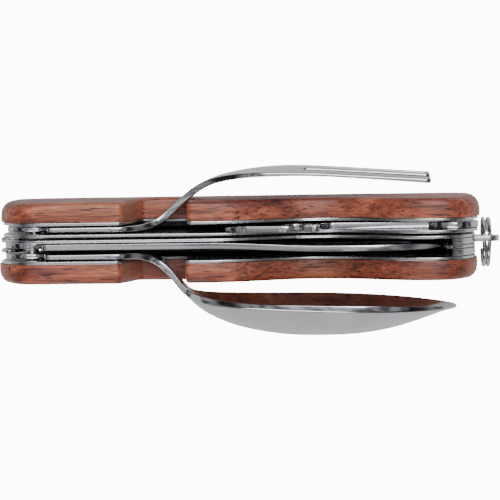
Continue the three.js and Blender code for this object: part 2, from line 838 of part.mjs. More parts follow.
function makeSpring(layer, startX, endX, footAtEnd, rivets) {
  const solid = plateInLayer(springShape(startX, endX, footAtEnd), layer);
  return rivets.reduce((rest, x) => rest.subtract(drill(x, rivetZ, rivetHole)), solid);
}

// Spacers at the ring end; one of them carries the drilled ear
function spacerShape(withEar) {
  const { corner } = outlineStations(linerReach);
  const shape = new THREE.Shape();
  const ends = corner.filter((x) => x > spacerX);
  shape.moveTo(spacerX, frontEdge(spacerX, linerReach));
  for (const x of ends) {
    shape.lineTo(x, frontEdge(x, linerReach));
  }
  if (withEar) {
    shape.lineTo(linerReach, lugHoleZ + lugRadius);
    shape.lineTo(lugHoleX, lugHoleZ + lugRadius);
    shape.absarc(lugHoleX, lugHoleZ, lugRadius, Math.PI / 2, -Math.PI / 2, true);
    shape.lineTo(linerReach, lugHoleZ - lugRadius);
  }
  for (const x of [...ends].reverse()) {
    shape.lineTo(x, cornerDrop(x, linerReach));
  }
  shape.lineTo(spacerX, cornerDrop(spacerX, linerReach));
  shape.closePath();
  return shape;
}

function makeSpacer(layer, withEar) {
  const solid = plateInLayer(spacerShape(withEar), layer).subtract(drill(rearRivetX, pivotZ, pinHole));
  return withEar ? solid.subtract(drill(lugHoleX, lugHoleZ, lugHoleRadius)) : solid;
}

// Studs that hook the fork half onto the other half
function makeStud(x) {
  const neckTop = layers.forkInnerLiner.high + seatGap;
  const profile = [
    [0, layers.knifeInnerLiner.low],
    [studRadius, layers.knifeInnerLiner.low],
    [studRadius, layers.gap.low + seatGap],
    [studHeadRadius, layers.gap.low + seatGap],
    [studHeadRadius, layers.gap.high - seatGap],
    [studRadius, layers.gap.high - seatGap],
    [studRadius, neckTop],
    [studHeadRadius, neckTop],
    [studHeadRadius, neckTop + studHeadThickness - 0.15],
    [studHeadRadius - 0.15, neckTop + studHeadThickness],
    [0, neckTop + studHeadThickness],
  ];
  const geometry = new THREE.LatheGeometry(profile.map(([r, y]) => new THREE.Vector2(r, y)), roundSides);
  geometry.translate(x, 0, studZ);
  return solidOf(geometry);
}

// A keyhole in the half that slides: a slot for the stud's neck, with a round hole where the head can pass
function keyhole(solid, x) {
  const slotHalf = studRadius + keyholeClearance;
  const hole = studHeadRadius + keyholeClearance;
  const shape = new THREE.Shape();
  shape.moveTo(x, studZ - slotHalf);
  shape.lineTo(x + slideTravel, studZ - slotHalf);
  shape.lineTo(x + slideTravel, studZ + slotHalf);
  shape.lineTo(x, studZ + slotHalf);
  shape.absarc(x, studZ, slotHalf, Math.PI / 2, -Math.PI / 2, false);
  const slot = plate(shape, layers.forkInnerLiner.low - 1, layers.forkInnerLiner.high + 1);
  return solid.subtract(slot).subtract(drill(x + slideTravel, studZ, hole));
}

// Detent leaf between the two halves
function makeLeaf() {
  const shape = new THREE.Shape();
  const half = leafHeight / 2;
  shape.moveTo(leafStart + 1, pivotZ - half);
  shape.lineTo(leafStart + leafLength, pivotZ - half);
  shape.lineTo(leafStart + leafLength, pivotZ + half);
  shape.lineTo(leafStart + 1, pivotZ + half);
  shape.quadraticCurveTo(leafStart, pivotZ + half, leafStart, pivotZ + half - 1);
  shape.lineTo(leafStart, pivotZ - half + 1);
  shape.quadraticCurveTo(leafStart, pivotZ - half, leafStart + 1, pivotZ - half);
  const low = layers.gap.low + seatGap;
  return plate(shape, low, low + leafThickness);
}

// Split ring: two turns of wire side by side, hanging through the ear's hole
class RingPath extends THREE.Curve {
  getPoint(t, target = new THREE.Vector3()) {
    const radius = ringOuterRadius - wireDiameter / 2;
    const turn = 2 * Math.PI;
    const angle = ringJog / 2 + t * (2 * turn - ringJog);
    const cross = THREE.MathUtils.smoothstep(angle, turn - ringJog / 2, turn + ringJog / 2) - 0.5;
    const splay = ringSplay * Math.max(0, Math.cos(angle - ringSplayAngle)) ** 2;
    const spread = wireDiameter + ringTurnGap + splay;
    const lean = THREE.MathUtils.degToRad(ringLean);
    const centreY = layers.knife.mid - radius * Math.sin(lean);
    const centreZ = lugHoleZ - radius * Math.cos(lean);
    return target.set(
      lugHoleX + cross * spread,
      centreY + radius * Math.sin(angle + Math.PI),
      centreZ + radius * Math.cos(angle + Math.PI),
    );
  }
}

function makeRing() {
  const wire = new THREE.Shape();
  wire.absarc(0, 0, wireDiameter / 2, 0, 2 * Math.PI, false);
  const geometry = new THREE.ExtrudeGeometry(wire, {
    steps: 52,
    curveSegments: 4,
    extrudePath: new RingPath(),
  });
  return solidOf(geometry);
}

// Assembly
function piece(name, solid, material) {
  const mesh = new THREE.Mesh(geometryOf(solid), material.clone());
  mesh.name = name;
  return mesh;
}

const forkPins = [
  [pivotX, pivotZ, pinHole],
  [openerPivotX, pivotZ, pinHole],
  [springRivetX, rivetZ, rivetHole],
];
const knifePins = [
  [pivotX, pivotZ, pinHole],
  [rearRivetX, pivotZ, pinHole],
  [springRivetX, rivetZ, rivetHole],
  [rearSpringRivetX, rivetZ, rivetHole],
];
const studHoles = [-studX, studX].map((x) => [x, studZ, studRadius + holeClearance]);
const forkInnerLiner = [-studX - halvesOffset, studX - halvesOffset]
  .reduce(keyhole, liner(layers.forkInnerLiner, linerShape(), forkPins));
const forkPinEnds = [layers.forkInnerLiner.low, layers.forkOuterLiner.high];
const knifePinEnds = [layers.spoonOuterLiner.low, layers.knifeInnerLiner.high];

const forkSpring = makeSpring(layers.fork, springStartX, openerPivotX, true, [springRivetX]);
const knifeInnerLiner = liner(layers.knifeInnerLiner, linerShape(), [...knifePins, ...studHoles]);

// The fork half locks a little nearer to the ring end than the other half
const forkHalf = new THREE.Group();
forkHalf.add(
  piece('fork_side_scale', scale(1), wood),
  piece('fork_outer_liner', liner(layers.forkOuterLiner, linerShape(), forkPins).subtract(notch), brushed),
  piece('fork', makeFork(), polished),
  piece('bottle_opener', makeOpener(), polished),
  piece('fork_backspring', forkSpring, brushed),
  piece('fork_inner_liner', forkInnerLiner, brushed),
  piece('fork_pivot_pin', bar(pivotX, pivotZ, pinRadius, ...forkPinEnds), pinSteel),
  piece('opener_pivot_pin', bar(openerPivotX, pivotZ, pinRadius, ...forkPinEnds), pinSteel),
  piece('fork_spring_rivet', bar(springRivetX, rivetZ, rivetRadius, ...forkPinEnds), pinSteel),
);

forkHalf.position.x = halvesOffset;

const knifeHalf = new THREE.Group();
const springRivets = [springRivetX, rearSpringRivetX];
knifeHalf.add(
  piece('knife_inner_liner', knifeInnerLiner, brushed),
  piece('knife', makeKnife(), polished),
  piece('key_ring_lug', makeSpacer(layers.knife, true), brushed),
  piece('knife_backspring', makeSpring(layers.knife, springStartX, springEndX, false, springRivets), brushed),
  piece('middle_liner', liner(layers.middleLiner, linerShape(middleLinerFront), knifePins), brushed),
  piece('spoon', makeSpoon(), polished),
  piece('spoon_backspring', makeSpring(layers.spoon, springStartX, springEndX, false, springRivets), brushed),
  piece('end_spacer', makeSpacer(layers.spoon, false), brushed),
  piece('spoon_outer_liner', liner(layers.spoonOuterLiner, linerShape(), knifePins).subtract(notch), brushed),
  piece('spoon_side_scale', scale(-1), wood),
  piece('knife_spoon_pivot_pin', bar(pivotX, pivotZ, pinRadius, ...knifePinEnds), pinSteel),
  piece('rear_rivet', bar(rearRivetX, pivotZ, pinRadius, ...knifePinEnds), pinSteel),
  piece('middle_spring_rivet', bar(springRivetX, rivetZ, rivetRadius, ...knifePinEnds), pinSteel),
  piece('rear_spring_rivet', bar(rearSpringRivetX, rivetZ, rivetRadius, ...knifePinEnds), pinSteel),
  piece('locking_stud_left', makeStud(-studX), pinSteel),
  piece('locking_stud_right', makeStud(studX), pinSteel),
  piece('detent_leaf', makeLeaf(), brushed),
  piece('split_ring', makeRing(), polished),
);

// The tool stands on its spine, centred over the origin
const tool = new THREE.Group();
tool.add(forkHalf, knifeHalf);
const centre = new THREE.Box3().setFromObject(tool).getCenter(new THREE.Vector3());
tool.position.set(-centre.x, -centre.y, 0);

export default tool;
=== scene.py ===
import json
import math

import bmesh
import bpy
import numpy as np
from mathutils import Euler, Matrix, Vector
from mathutils.geometry import delaunay_2d_cdt


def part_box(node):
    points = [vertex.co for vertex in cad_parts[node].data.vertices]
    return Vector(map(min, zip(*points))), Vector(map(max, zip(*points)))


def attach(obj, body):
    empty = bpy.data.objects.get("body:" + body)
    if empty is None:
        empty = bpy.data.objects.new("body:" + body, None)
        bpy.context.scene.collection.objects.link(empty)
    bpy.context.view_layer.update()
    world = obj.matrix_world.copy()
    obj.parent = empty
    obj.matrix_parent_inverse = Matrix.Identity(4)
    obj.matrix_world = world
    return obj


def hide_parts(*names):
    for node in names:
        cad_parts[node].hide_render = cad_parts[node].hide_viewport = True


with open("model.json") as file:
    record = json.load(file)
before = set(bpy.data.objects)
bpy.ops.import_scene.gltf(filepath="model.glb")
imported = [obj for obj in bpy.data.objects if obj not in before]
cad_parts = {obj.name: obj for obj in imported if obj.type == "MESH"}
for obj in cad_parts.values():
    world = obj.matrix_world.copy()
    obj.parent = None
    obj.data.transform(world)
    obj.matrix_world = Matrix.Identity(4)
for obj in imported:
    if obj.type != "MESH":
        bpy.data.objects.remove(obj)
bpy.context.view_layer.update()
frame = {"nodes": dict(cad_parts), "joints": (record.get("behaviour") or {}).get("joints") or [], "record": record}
nodes = frame["nodes"]
joints = {joint["name"]: joint for joint in frame["joints"]}
bodies = frame["record"]["behaviour"]["bodies"]
body_of = {node: body for body, members in bodies.items() for node in members}
slot_of = {part["node"]: part["material_slot"] for part in frame["record"]["subparts"]}
MM = 1000


# Places taken from the frame. Lengths here are in millimetres, from the middle of the handle's
# length and of its stack: X runs towards the key ring, Y towards the fork, Z towards the open side.
def node_box(name):
    low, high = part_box(name)
    return np.array(low) * MM, np.array(high) * MM


fork_liner_low, fork_liner_high = node_box("fork_outer_liner")
spoon_liner_low, spoon_liner_high = node_box("spoon_outer_liner")
origin = np.array([
    (spoon_liner_low[0] + spoon_liner_high[0]) / 2,
    (fork_liner_high[1] + spoon_liner_low[1]) / 2,
    0,
])
fork_half_shift = (fork_liner_low[0] + fork_liner_high[0]) / 2 - origin[0]


def local_box(name):
    low, high = node_box(name)
    return low - origin, high - origin


def layer_of(name):
    low, high = local_box(name)
    return low[1], high[1]


def joint_place(name):
    return np.array(joints[name]["pos_m"]) * MM - origin


half_length, _, handle_height = local_box("spoon_side_scale")[1]
pivot_x, knife_middle, pivot_z = joint_place("knife_hinge")
fork_middle = joint_place("fork_hinge")[1]
spoon_middle = joint_place("spoon_hinge")[1]
opener_pivot_x = joint_place("opener_hinge")[0] - fork_half_shift
lug_x, _, lug_z = joint_place("ring_swing")

# Handle
CORNER_RADIUS = 10
GROOVE_DEPTH = 7.5
GROOVE_PEAK_SHARE = 0.526
NOTCH_FLOOR = 15.5
NOTCH_START_SLOPE = 2.9
NOTCH_END_SLOPE = 0.3
NOTCH_ROUND = 1.4
LINER_INSET = 0.5
SCALE_ROUND = 0.9
SCALE_INNER_EDGE = 0.12
SCALE_CROWN = 0.35
SCALE_LIP = 1.2
SCALE_SPACING = 1.4
END_ROUND = 1.7
END_DROP = 1.9
END_BLEND_FROM = 8
END_BLEND_TO = 1
NOTCH_ROUND_LESS = 0.2
NOTCH_BLEND = (9, 12)
NOTCH_MARGIN = 0.3
notch_start = pivot_x + 21.9
notch_end = notch_start + 14.7
groove_start = notch_end + 3.3
groove_end = half_length - 11.2
liner_reach = half_length - LINER_INSET

# Tangs, pins and springs
TANG_RADIUS = 6.15
OPENER_TANG_RADIUS = 6.1
PIN_HOLE = 1.56
RIVET_HOLE = 1.16
STUD_HOLE = 1.26
SPRING_HEIGHT = 4.5
SPRING_FOOT_LENGTH = 8
SPRING_FOOT_TOP = pivot_z - TANG_RADIUS - 0.3
SPRING_RIVET_X = 8
SPRING_LEAD = 3
SPRING_CHAMFER = 0.6
SPRING_SAG = 0.4
SPRING_CLEARANCE = 0.02
RIVET_Z = 2.25
STUD_X = 28
STUD_Z = 8.8
SLIDE_TRAVEL = 7
KEYHOLE_NARROW = STUD_HOLE + 0.09
KEYHOLE_WIDE = KEYHOLE_NARROW + 0.8
KEYHOLE_SPACING = 0.3
LUG_RADIUS = 2.8
LUG_HOLE = 1.5
SPACER_RELIEF = 0.09
LINER_EDGE_ROUND = 0.14
MIDDLE_CUT_Z = 10.5
MIDDLE_RISE_LENGTH = 9
middle_rise_x = half_length - 15
middle_dip_x = -half_length + 2
spacer_x = half_length - 6
rear_rivet_x = half_length - 4
rear_spring_rivet_x = half_length - 11
spring_start = pivot_x + 0.7
spring_end = spacer_x - 0.3

# Fork and spoon, which share the stem. The side curves are given as steps along X and Y.
TANG_THICKNESS = 1.25
STEM_WIDTH = 8.3
STEM_TOP = 27.2
NECK_WIDTH = 5.4
NECK_Z = 19
SHOULDER_X = 3.9
SHOULDER_ROUND = 1
SHOULDER_LEAN = 0.1
STEM_SHOULDER_GAP = 0.6
stem_taper_x = pivot_x + 18.4
bend_x = pivot_x + 25.3
neck_x = pivot_x + 33.2
FORK_HEAD_Z = 17
FORK_HEAD_WIDTH = 20.6
FORK_STEM_STEPS = ((-10, 0), (-3, 0), (4.45, 1.63), (9.2, 5.68), (13.9, 9.15))
FORK_NECK_THICKNESS = 1.5
FORK_HEAD_THICKNESS = 1.0
FORK_TIP_THICKNESS = 1.12
FORK_EDGE_ROUND = 0.3
FORK_SPACING = 0.75
FORK_DISH = 0.9
FORK_ROLL = 0.04
FORK_REACH = 15.3
FORK_TIP_REACH = 13.15
TINE_COUNT = 4
TINE_WIDTH = 3.1
TINE_TIP_WIDTH = 2
TINE_TIP_LENGTH = 1.6
fork_tip_x = pivot_x + 91.4
fork_head_x = pivot_x + 57.1
tine_root_x = fork_tip_x - 29
SPOON_STEM_STEPS = ((-10, 0), (-3, 0), (3.7, -1.3), (7.7, -5), (10.6, -8.5))
KEEL_NECK_STEPS = ((13.8, 6.9), (17.5, 4.5), (21.9, 2.6), (27.5, 1.15))
KEEL_BOWL_STEPS = ((-6, 0.2), (1, 0), (8, 0.22), (19, 2), (27, 4.55))
KEEL_AT_TIP = 0.05
SPOON_NECK_THICKNESS = 1.45
SPOON_TIP_SHARE = 0.72
SPOON_SPACING = 0.8
BOWL_Z = 17.7
BOWL_TO_TIP = 32.4
BOWL_TO_NECK = 29.3
BOWL_HALF_WIDTH = 15.3
BOWL_DEPTH = 7.7
BOWL_THICKNESS = 0.95
BOWL_FULLNESS = 2.2
BOWL_NECK_FULLNESS = 0.62
NECK_BLEND = 2.5
RIM_REACH = 13.5
RIM_SLOPE = 0.0395
RIM_OVERRUN = 1.3
RIM_EDGE_ROUND = (0.24, 0.26)
SHEET_SHARP_ANGLE = 80
SHEET_LOOP_SPACING = 0.45
bowl_x = pivot_x + 65.4
spoon_tip_x = bowl_x + BOWL_TO_TIP

# Knife and opener
BLADE_THICKNESS = 1.3
KNIFE_SPINE_Z = 30
KNIFE_EDGE_Z = 13
KNIFE_TIP_Z = 25.5
KNIFE_BELLY_LENGTH = 18.5
KNIFE_BELLY_POWER = 2.2
KNIFE_DROP_LENGTH = 22.5
KNIFE_DROP_POWER = 1.8
KNIFE_SHOULDER_GAP = 0.5
KNIFE_SHARP_ANGLE = 12
KNIFE_SPACING = 1.0
CREASE_SPACING = 0.4
KNIFE_CRANK = 0.95
EDGE_THICKNESS = 0.25
BEVEL_SHARE = 0.62
TOOL_EDGE_ROUND = 0.12
CRANK_LENGTH = 28
knife_tip_x = spacer_x - 2.6
grind_x = pivot_x + 8 + 1.5
crank_x = pivot_x + 41.5
OPENER_TOP_Z = 31
OPENER_THICKNESS = 1.4
OPENER_SET_IN = 0.2
OPENER_FOOT_DROP = 4
OPENER_TOP_RISE = 3
OPENER_SHARP_ANGLE = 20
OPENER_SPACING = 1.2
OPENER_LOOP_SPACING = 0.4
HOOK_WIDTH = 3.4
HOOK_ROUND_X = 1.4
HOOK_ROUND_Z = 1.2
HOOK_LIP = 1.6
MOUTH_WIDTH = 1.3
MOUTH_RADIUS = 3.3
MOUTH_SHIFT = 0.6
DRIVER_LENGTH = 3.5
DRIVER_THICKNESS = 0.7
opener_tip_x = opener_pivot_x - 51.3
opener_hook_x = opener_pivot_x - 29.7

# Split ring
RING_RADIUS = 5.83
RING_WIRE = 0.45
RING_JOG = math.pi / 4
RING_LEAN = math.radians(13.6)
RING_GAP = 0.08
RING_SPRUNG = 0.45
RING_STATIONS = 260
RING_SIDES = 14
RING_END_PUSH = 0.1
RING_END_SIZE = 0.7
RING_SHARP_ANGLE = 50

# Camera at the photograph's viewing angle: its place and turn, and the frame in pixels
CAMERA_PLACE = (30.49, 28.45, 429.8)
CAMERA_TURN = (-0.07626, 0.06524, -0.01705)
FOCAL_PIXELS = 1800
FRAME_PIXELS = 500
SENSOR = 36
CLIP_START = 0.01


def make_camera():
    data = bpy.data.cameras.new("photo_camera")
    data.sensor_width = SENSOR
    data.lens = FOCAL_PIXELS / FRAME_PIXELS * SENSOR
    data.clip_start = CLIP_START
    camera = bpy.data.objects.new("photo_camera", data)
    camera.location = Vector((np.array(CAMERA_PLACE) + origin) / MM)
    camera.rotation_euler = Euler(CAMERA_TURN)
    bpy.context.scene.collection.objects.link(camera)
    bpy.context.scene.camera = camera


make_camera()


# Materials
class Tree:
    """A node tree with short ways to add nodes, with textures placed by the named coordinates."""

    def __init__(self, tree, coordinates):
        self.tree = tree
        self.coordinates = self.add("ShaderNodeTexCoord")
        self.place = self.coordinates.outputs[coordinates]

    def add(self, kind, **settings):
        node = self.tree.nodes.new(kind)
        for name, value in settings.items():
            setattr(node, name, value)
        return node

    def link(self, source, target):
        self.tree.links.new(source, target)

    def feed(self, target, value):
        if isinstance(value, bpy.types.NodeSocket):
            self.link(value, target)
        else:
            target.default_value = value

    def stretched(self, scale, offset=(0, 0, 0), turn=(0, 0, 0)):
        node = self.add("ShaderNodeMapping")
        node.inputs["Scale"].default_value = scale
        node.inputs["Location"].default_value = offset
        node.inputs["Rotation"].default_value = turn
        self.link(self.place, node.inputs["Vector"])
        return node.outputs["Vector"]

    def noise(self, scale, detail=4, rough=0.5, stretch=(1, 1, 1), offset=(0, 0, 0),
              turn=(0, 0, 0), distort=0):
        node = self.add("ShaderNodeTexNoise")
        node.inputs["Scale"].default_value = scale
        node.inputs["Detail"].default_value = detail
        node.inputs["Roughness"].default_value = rough
        node.inputs["Distortion"].default_value = distort
        self.link(self.stretched(stretch, offset, turn), node.inputs["Vector"])
        return node.outputs["Fac"]

    def ramp(self, value, stops):
        node = self.add("ShaderNodeValToRGB")
        elements = node.color_ramp.elements
        for i, (position, colour) in enumerate(stops):
            element = elements[i] if i < 2 else elements.new(position)
            element.position = position
            shade = (colour,) * 3 if isinstance(colour, (int, float)) else colour
            element.color = (*shade, 1)
        self.link(value, node.inputs["Fac"])
        return node.outputs["Color"]

    def maths(self, kind, a, b=0.0, clamp=False):
        node = self.add("ShaderNodeMath", operation=kind, use_clamp=clamp)
        self.feed(node.inputs[0], a)
        self.feed(node.inputs[1], b)
        return node.outputs[0]

    def remap(self, value, low, high, start=0.0, end=1.0):
        node = self.add("ShaderNodeMapRange")
        self.link(value, node.inputs["Value"])
        node.inputs["From Min"].default_value = start
        node.inputs["From Max"].default_value = end
        node.inputs["To Min"].default_value = low
        node.inputs["To Max"].default_value = high
        return node.outputs["Result"]

    def mix(self, share, a, b, kind="MIX"):
        node = self.add("ShaderNodeMix", data_type="RGBA", blend_type=kind)
        self.feed(node.inputs["Factor"], share)
        for socket, value in ((node.inputs[6], a), (node.inputs[7], b)):
            self.feed(socket, (*value, 1) if isinstance(value, tuple) else value)
        return node.outputs[2]

    def axis(self, source, name):
        node = self.add("ShaderNodeSeparateXYZ")
        self.link(source, node.inputs[0])
        return node.outputs[name]


class Shader(Tree):
    """A material made of one Principled BSDF."""

    def __init__(self, name):
        self.material = bpy.data.materials.new(name)
        self.material.use_nodes = True
        self.bsdf = self.material.node_tree.nodes["Principled BSDF"]
        super().__init__(self.material.node_tree, "Object")

    def bump(self, height, distance):
        node = self.add("ShaderNodeBump")
        node.inputs["Distance"].default_value = distance
        self.link(height, node.inputs["Height"])
        self.link(node.outputs["Normal"], self.bsdf.inputs["Normal"])


# Metres along Z, Z and |X| over which the inside of the handle, painted dark as shade and made rougher, gives way
# to the open
PAINTED_SHADE_TOP = (0.014, 0.0205)
PAINTED_SHADE_FOOT = (0.0005, 0.0025)
PAINTED_SHADE_ENDS = (0.0465, 0.0495)
INSIDE_ROUGHER = 0.25
CLOUD_SHADE = 0.9


def make_steel(name, colour, roughness, spread, grain, grain_depth, inside=None):
    """Rubbed steel with fine scratches, which is rougher, and painted dark as shade, deep inside the handle."""
    shader = Shader(name)
    bsdf = shader.bsdf
    bsdf.inputs["Metallic"].default_value = 1
    cloud = shader.noise(180, detail=3)
    scratches = shader.noise(900, detail=3, rough=0.65, stretch=grain)
    both = shader.maths("MULTIPLY", cloud, scratches)
    both = shader.maths("MULTIPLY", both, 2.0, clamp=True)
    rough = shader.remap(both, roughness - spread, roughness + spread)
    tint = shader.ramp(cloud, [(0.3, tuple(CLOUD_SHADE * c for c in colour)), (0.7, colour)])
    # The inside colour is painted shade: the steel is mixed towards it deep in the handle, where shade falls
    if inside is not None:
        height = shader.axis(shader.place, "Z")
        along = shader.maths("ABSOLUTE", shader.axis(shader.place, "X"))
        top = shader.remap(height, 1.0, 0.0, *PAINTED_SHADE_TOP)
        foot = shader.remap(height, 0.0, 1.0, *PAINTED_SHADE_FOOT)
        ends = shader.remap(along, 1.0, 0.0, *PAINTED_SHADE_ENDS)
        painted_shade_share = shader.maths("MULTIPLY", shader.maths("MULTIPLY", top, foot), ends)
        tint = shader.mix(painted_shade_share, tint, inside)
        rough = shader.maths("ADD", rough, shader.maths("MULTIPLY", painted_shade_share, INSIDE_ROUGHER))
    shader.link(tint, bsdf.inputs["Base Color"])
    shader.link(rough, bsdf.inputs["Roughness"])
    shader.bump(scratches, grain_depth)
    return shader.material


GRAIN_LEAN = (0, 0, 0.13)
WOOD_BANDS = [
    (0.32, (0.095, 0.020, 0.014)),
    (0.43, (0.23, 0.052, 0.030)),
    (0.53, (0.35, 0.086, 0.044)),
    (0.66, (0.50, 0.158, 0.082)),
]
WOOD_STREAKS = [(0.34, 0.42), (0.47, 0.9), (0.66, 1.25)]
WOOD_FIBRES = [(0.36, 0.68), (0.64, 1.28)]
WOOD_END = [(0.35, (0.19, 0.060, 0.038)), (0.6, (0.46, 0.170, 0.110))]
PORE_COLOUR = (0.075, 0.018, 0.012)
PORE_STOPS = [(0.34, 0.0), (0.40, 1.0)]
END_FACING = (0.72, 0.95)
PORE_DEPTH = 0.00007
FIBRE_SHARE = 0.4
WOOD_ROUGHNESS = (0.52, 0.36)
COAT_WEIGHT = 0.18
COAT_ROUGHNESS = 0.35


def make_wood():
    """Oiled red-brown hardwood: bands and streaks along the handle, pores, and end grain."""
    shader = Shader("oiled_hardwood")
    bsdf = shader.bsdf
    turn = GRAIN_LEAN
    broad = shader.noise(170, detail=5, rough=0.62, stretch=(0.14, 1, 1), turn=turn, distort=0.6)
    streak = shader.noise(620, detail=6, rough=0.62, stretch=(0.07, 1, 1), turn=turn, distort=0.4)
    fine = shader.noise(2600, rough=0.6, stretch=(0.09, 1, 1), turn=turn)
    pores = shader.noise(1900, detail=2, stretch=(0.09, 1, 1), offset=(0.3, 0.1, 0.2), turn=turn)
    dots = shader.noise(2300, detail=3, rough=0.6, offset=(0.1, 0.2, 0.3))
    colour = shader.ramp(broad, WOOD_BANDS)
    colour = shader.mix(1.0, colour, shader.ramp(streak, WOOD_STREAKS), "MULTIPLY")
    colour = shader.mix(1.0, colour, shader.ramp(fine, WOOD_FIBRES), "MULTIPLY")
    pore = shader.ramp(pores, PORE_STOPS)
    colour = shader.mix(pore, PORE_COLOUR, colour)
    facing = shader.maths("ABSOLUTE", shader.axis(shader.coordinates.outputs["Normal"], "X"))
    end_grain = shader.remap(facing, 0.0, 1.0, *END_FACING)
    colour = shader.mix(end_grain, colour, shader.ramp(dots, WOOD_END))
    shader.link(colour, bsdf.inputs["Base Color"])
    bsdf.inputs["Coat Weight"].default_value = COAT_WEIGHT
    bsdf.inputs["Coat Roughness"].default_value = COAT_ROUGHNESS
    shader.link(shader.remap(streak, *WOOD_ROUGHNESS), bsdf.inputs["Roughness"])
    rise = shader.maths("MULTIPLY", pore, 1 - FIBRE_SHARE)
    rise = shader.maths("ADD", rise, shader.maths("MULTIPLY", fine, FIBRE_SHARE))
    shader.bump(rise, PORE_DEPTH)
    return shader.material


BY_SLOT = {
    "wood": make_wood(),
    "polished_steel": make_steel(
        "polished_steel", (0.58, 0.59, 0.61), roughness=0.12, spread=0.05,
        grain=(0.06, 1, 1), grain_depth=0.000002),
    # The inside colours of the liners and pins are painted shade for the depths of the handle
    "liner_steel": make_steel(
        "liner_steel", (0.62, 0.63, 0.64), roughness=0.24, spread=0.1,
        grain=(1, 0.25, 0.1), grain_depth=0.00001, inside=(0.075, 0.08, 0.088)),
    "pin_steel": make_steel(
        "pin_steel", (0.60, 0.61, 0.62), roughness=0.24, spread=0.08,
        grain=(1, 0.05, 1), grain_depth=0.000004, inside=(0.05, 0.052, 0.056)),
}


# Outlines in X and Z, drawn with lines and curves and kept as closely spaced points
POINT_GAP = 0.02


class Outline:
    def __init__(self, x, z):
        self.points = [(x, z)]

    def line(self, x, z):
        self.points.append((x, z))
        return self

    def lines(self, points):
        self.points.extend(points)
        return self

    def quadratic(self, bend_at, bend_z, x, z, steps=8):
        x0, z0 = self.points[-1]
        for t in np.linspace(0, 1, steps + 1)[1:]:
            a, b, c = (1 - t) ** 2, 2 * t * (1 - t), t ** 2
            self.points.append((a * x0 + b * bend_at + c * x, a * z0 + b * bend_z + c * z))
        return self

    def bezier(self, x1, z1, x2, z2, x, z, steps=28):
        x0, z0 = self.points[-1]
        for t in np.linspace(0, 1, steps + 1)[1:]:
            a, b, c, d = (1 - t) ** 3, 3 * t * (1 - t) ** 2, 3 * t ** 2 * (1 - t), t ** 3
            self.points.append((a * x0 + b * x1 + c * x2 + d * x, a * z0 + b * z1 + c * z2 + d * z))
        return self

    def arc(self, x, z, radius, start, end, steps=24):
        for angle in np.linspace(start, end, steps + 1):
            self.points.append((x + radius * math.cos(angle), z + radius * math.sin(angle)))
        return self

    def loop(self, spacing=0.5):
        kept = []
        for point in self.points:
            if not kept or math.dist(point, kept[-1]) > POINT_GAP:
                kept.append(point)
        if math.dist(kept[0], kept[-1]) < POINT_GAP:
            kept.pop()
        dense = []
        for a, b in zip(kept, kept[1:] + kept[:1]):
            count = max(1, math.ceil(math.dist(a, b) / spacing))
            dense.extend(tuple(np.add(a, np.subtract(b, a) * i / count)) for i in range(count))
        dense = np.array(dense)
        x, z = dense.T
        area = np.sum(x * np.roll(z, -1) - np.roll(x, -1) * z)
        return dense if area > 0 else dense[::-1].copy()


def hole(x, z, radius, steps=40):
    angles = -np.arange(steps) * 2 * math.pi / steps
    return np.column_stack([x + radius * np.cos(angles), z + radius * np.sin(angles)])


def smooth_step(x, start, end):
    t = np.clip((np.asarray(x, float) - start) / (end - start), 0, 1)
    return t * t * (3 - 2 * t)


def smooth_curve(points):
    """A natural cubic spline y(x) through the points."""
    xs, ys = np.array(points, float).T
    width = np.diff(xs)
    slope = np.diff(ys) / width
    count = len(xs)
    matrix = np.eye(count)
    right = np.zeros(count)
    for i in range(1, count - 1):
        matrix[i, i - 1:i + 2] = width[i - 1], 2 * (width[i - 1] + width[i]), width[i]
        right[i] = 6 * (slope[i] - slope[i - 1])
    bend = np.linalg.solve(matrix, right)

    def curve(x):
        x = np.asarray(x, float)
        i = np.clip(np.searchsorted(xs, x, side="right") - 1, 0, count - 2)
        before = (x - xs[i]) / width[i]
        after = 1 - before
        pull = width[i] ** 2 / 6
        return (after * ys[i] + before * ys[i + 1]
                + pull * ((after ** 3 - after) * bend[i] + (before ** 3 - before) * bend[i + 1]))

    return curve


# Slabs: an outline with holes, given a face on each side and rounded edges
ROUND_STEPS = 4
SUPPORT_REACH = 0.15
SUPPORT_SHARE = 0.4
LEAST_MITRE = 0.35
EDGE_CLEARANCE = 0.55
CREASE_CLEARANCE = 0.5
CHUNK = 1500
WELD_REACH = 1e-7
ON_FACE = 0.002
SLOPE_STEP = 0.02


def inset(loop, distance):
    along = np.roll(loop, -1, 0) - loop
    along /= np.linalg.norm(along, axis=1)[:, None]
    inward = np.column_stack([-along[:, 1], along[:, 0]])
    before = np.roll(inward, 1, 0)
    share = np.maximum(LEAST_MITRE, 1 + np.sum(inward * before, axis=1))
    return loop + (inward + before) / share[:, None] * np.reshape(distance, (-1, 1))


def inside(points, loops):
    odd = np.zeros(len(points), bool)
    px, pz = points[:, :1], points[:, 1:]
    for loop in loops:
        a, b = loop, np.roll(loop, -1, 0)
        crosses = (a[:, 1] > pz) != (b[:, 1] > pz)
        rise = np.where(b[:, 1] == a[:, 1], 1e-12, b[:, 1] - a[:, 1])
        at = a[:, 0] + (pz - a[:, 1]) * (b[:, 0] - a[:, 0]) / rise
        odd ^= (np.sum(crosses & (px < at), axis=1) % 2).astype(bool)
    return odd


def distances(points, others):
    """From each point to the nearest of the others."""
    return np.min(np.linalg.norm(points[:, None] - others[None], axis=2), axis=1)


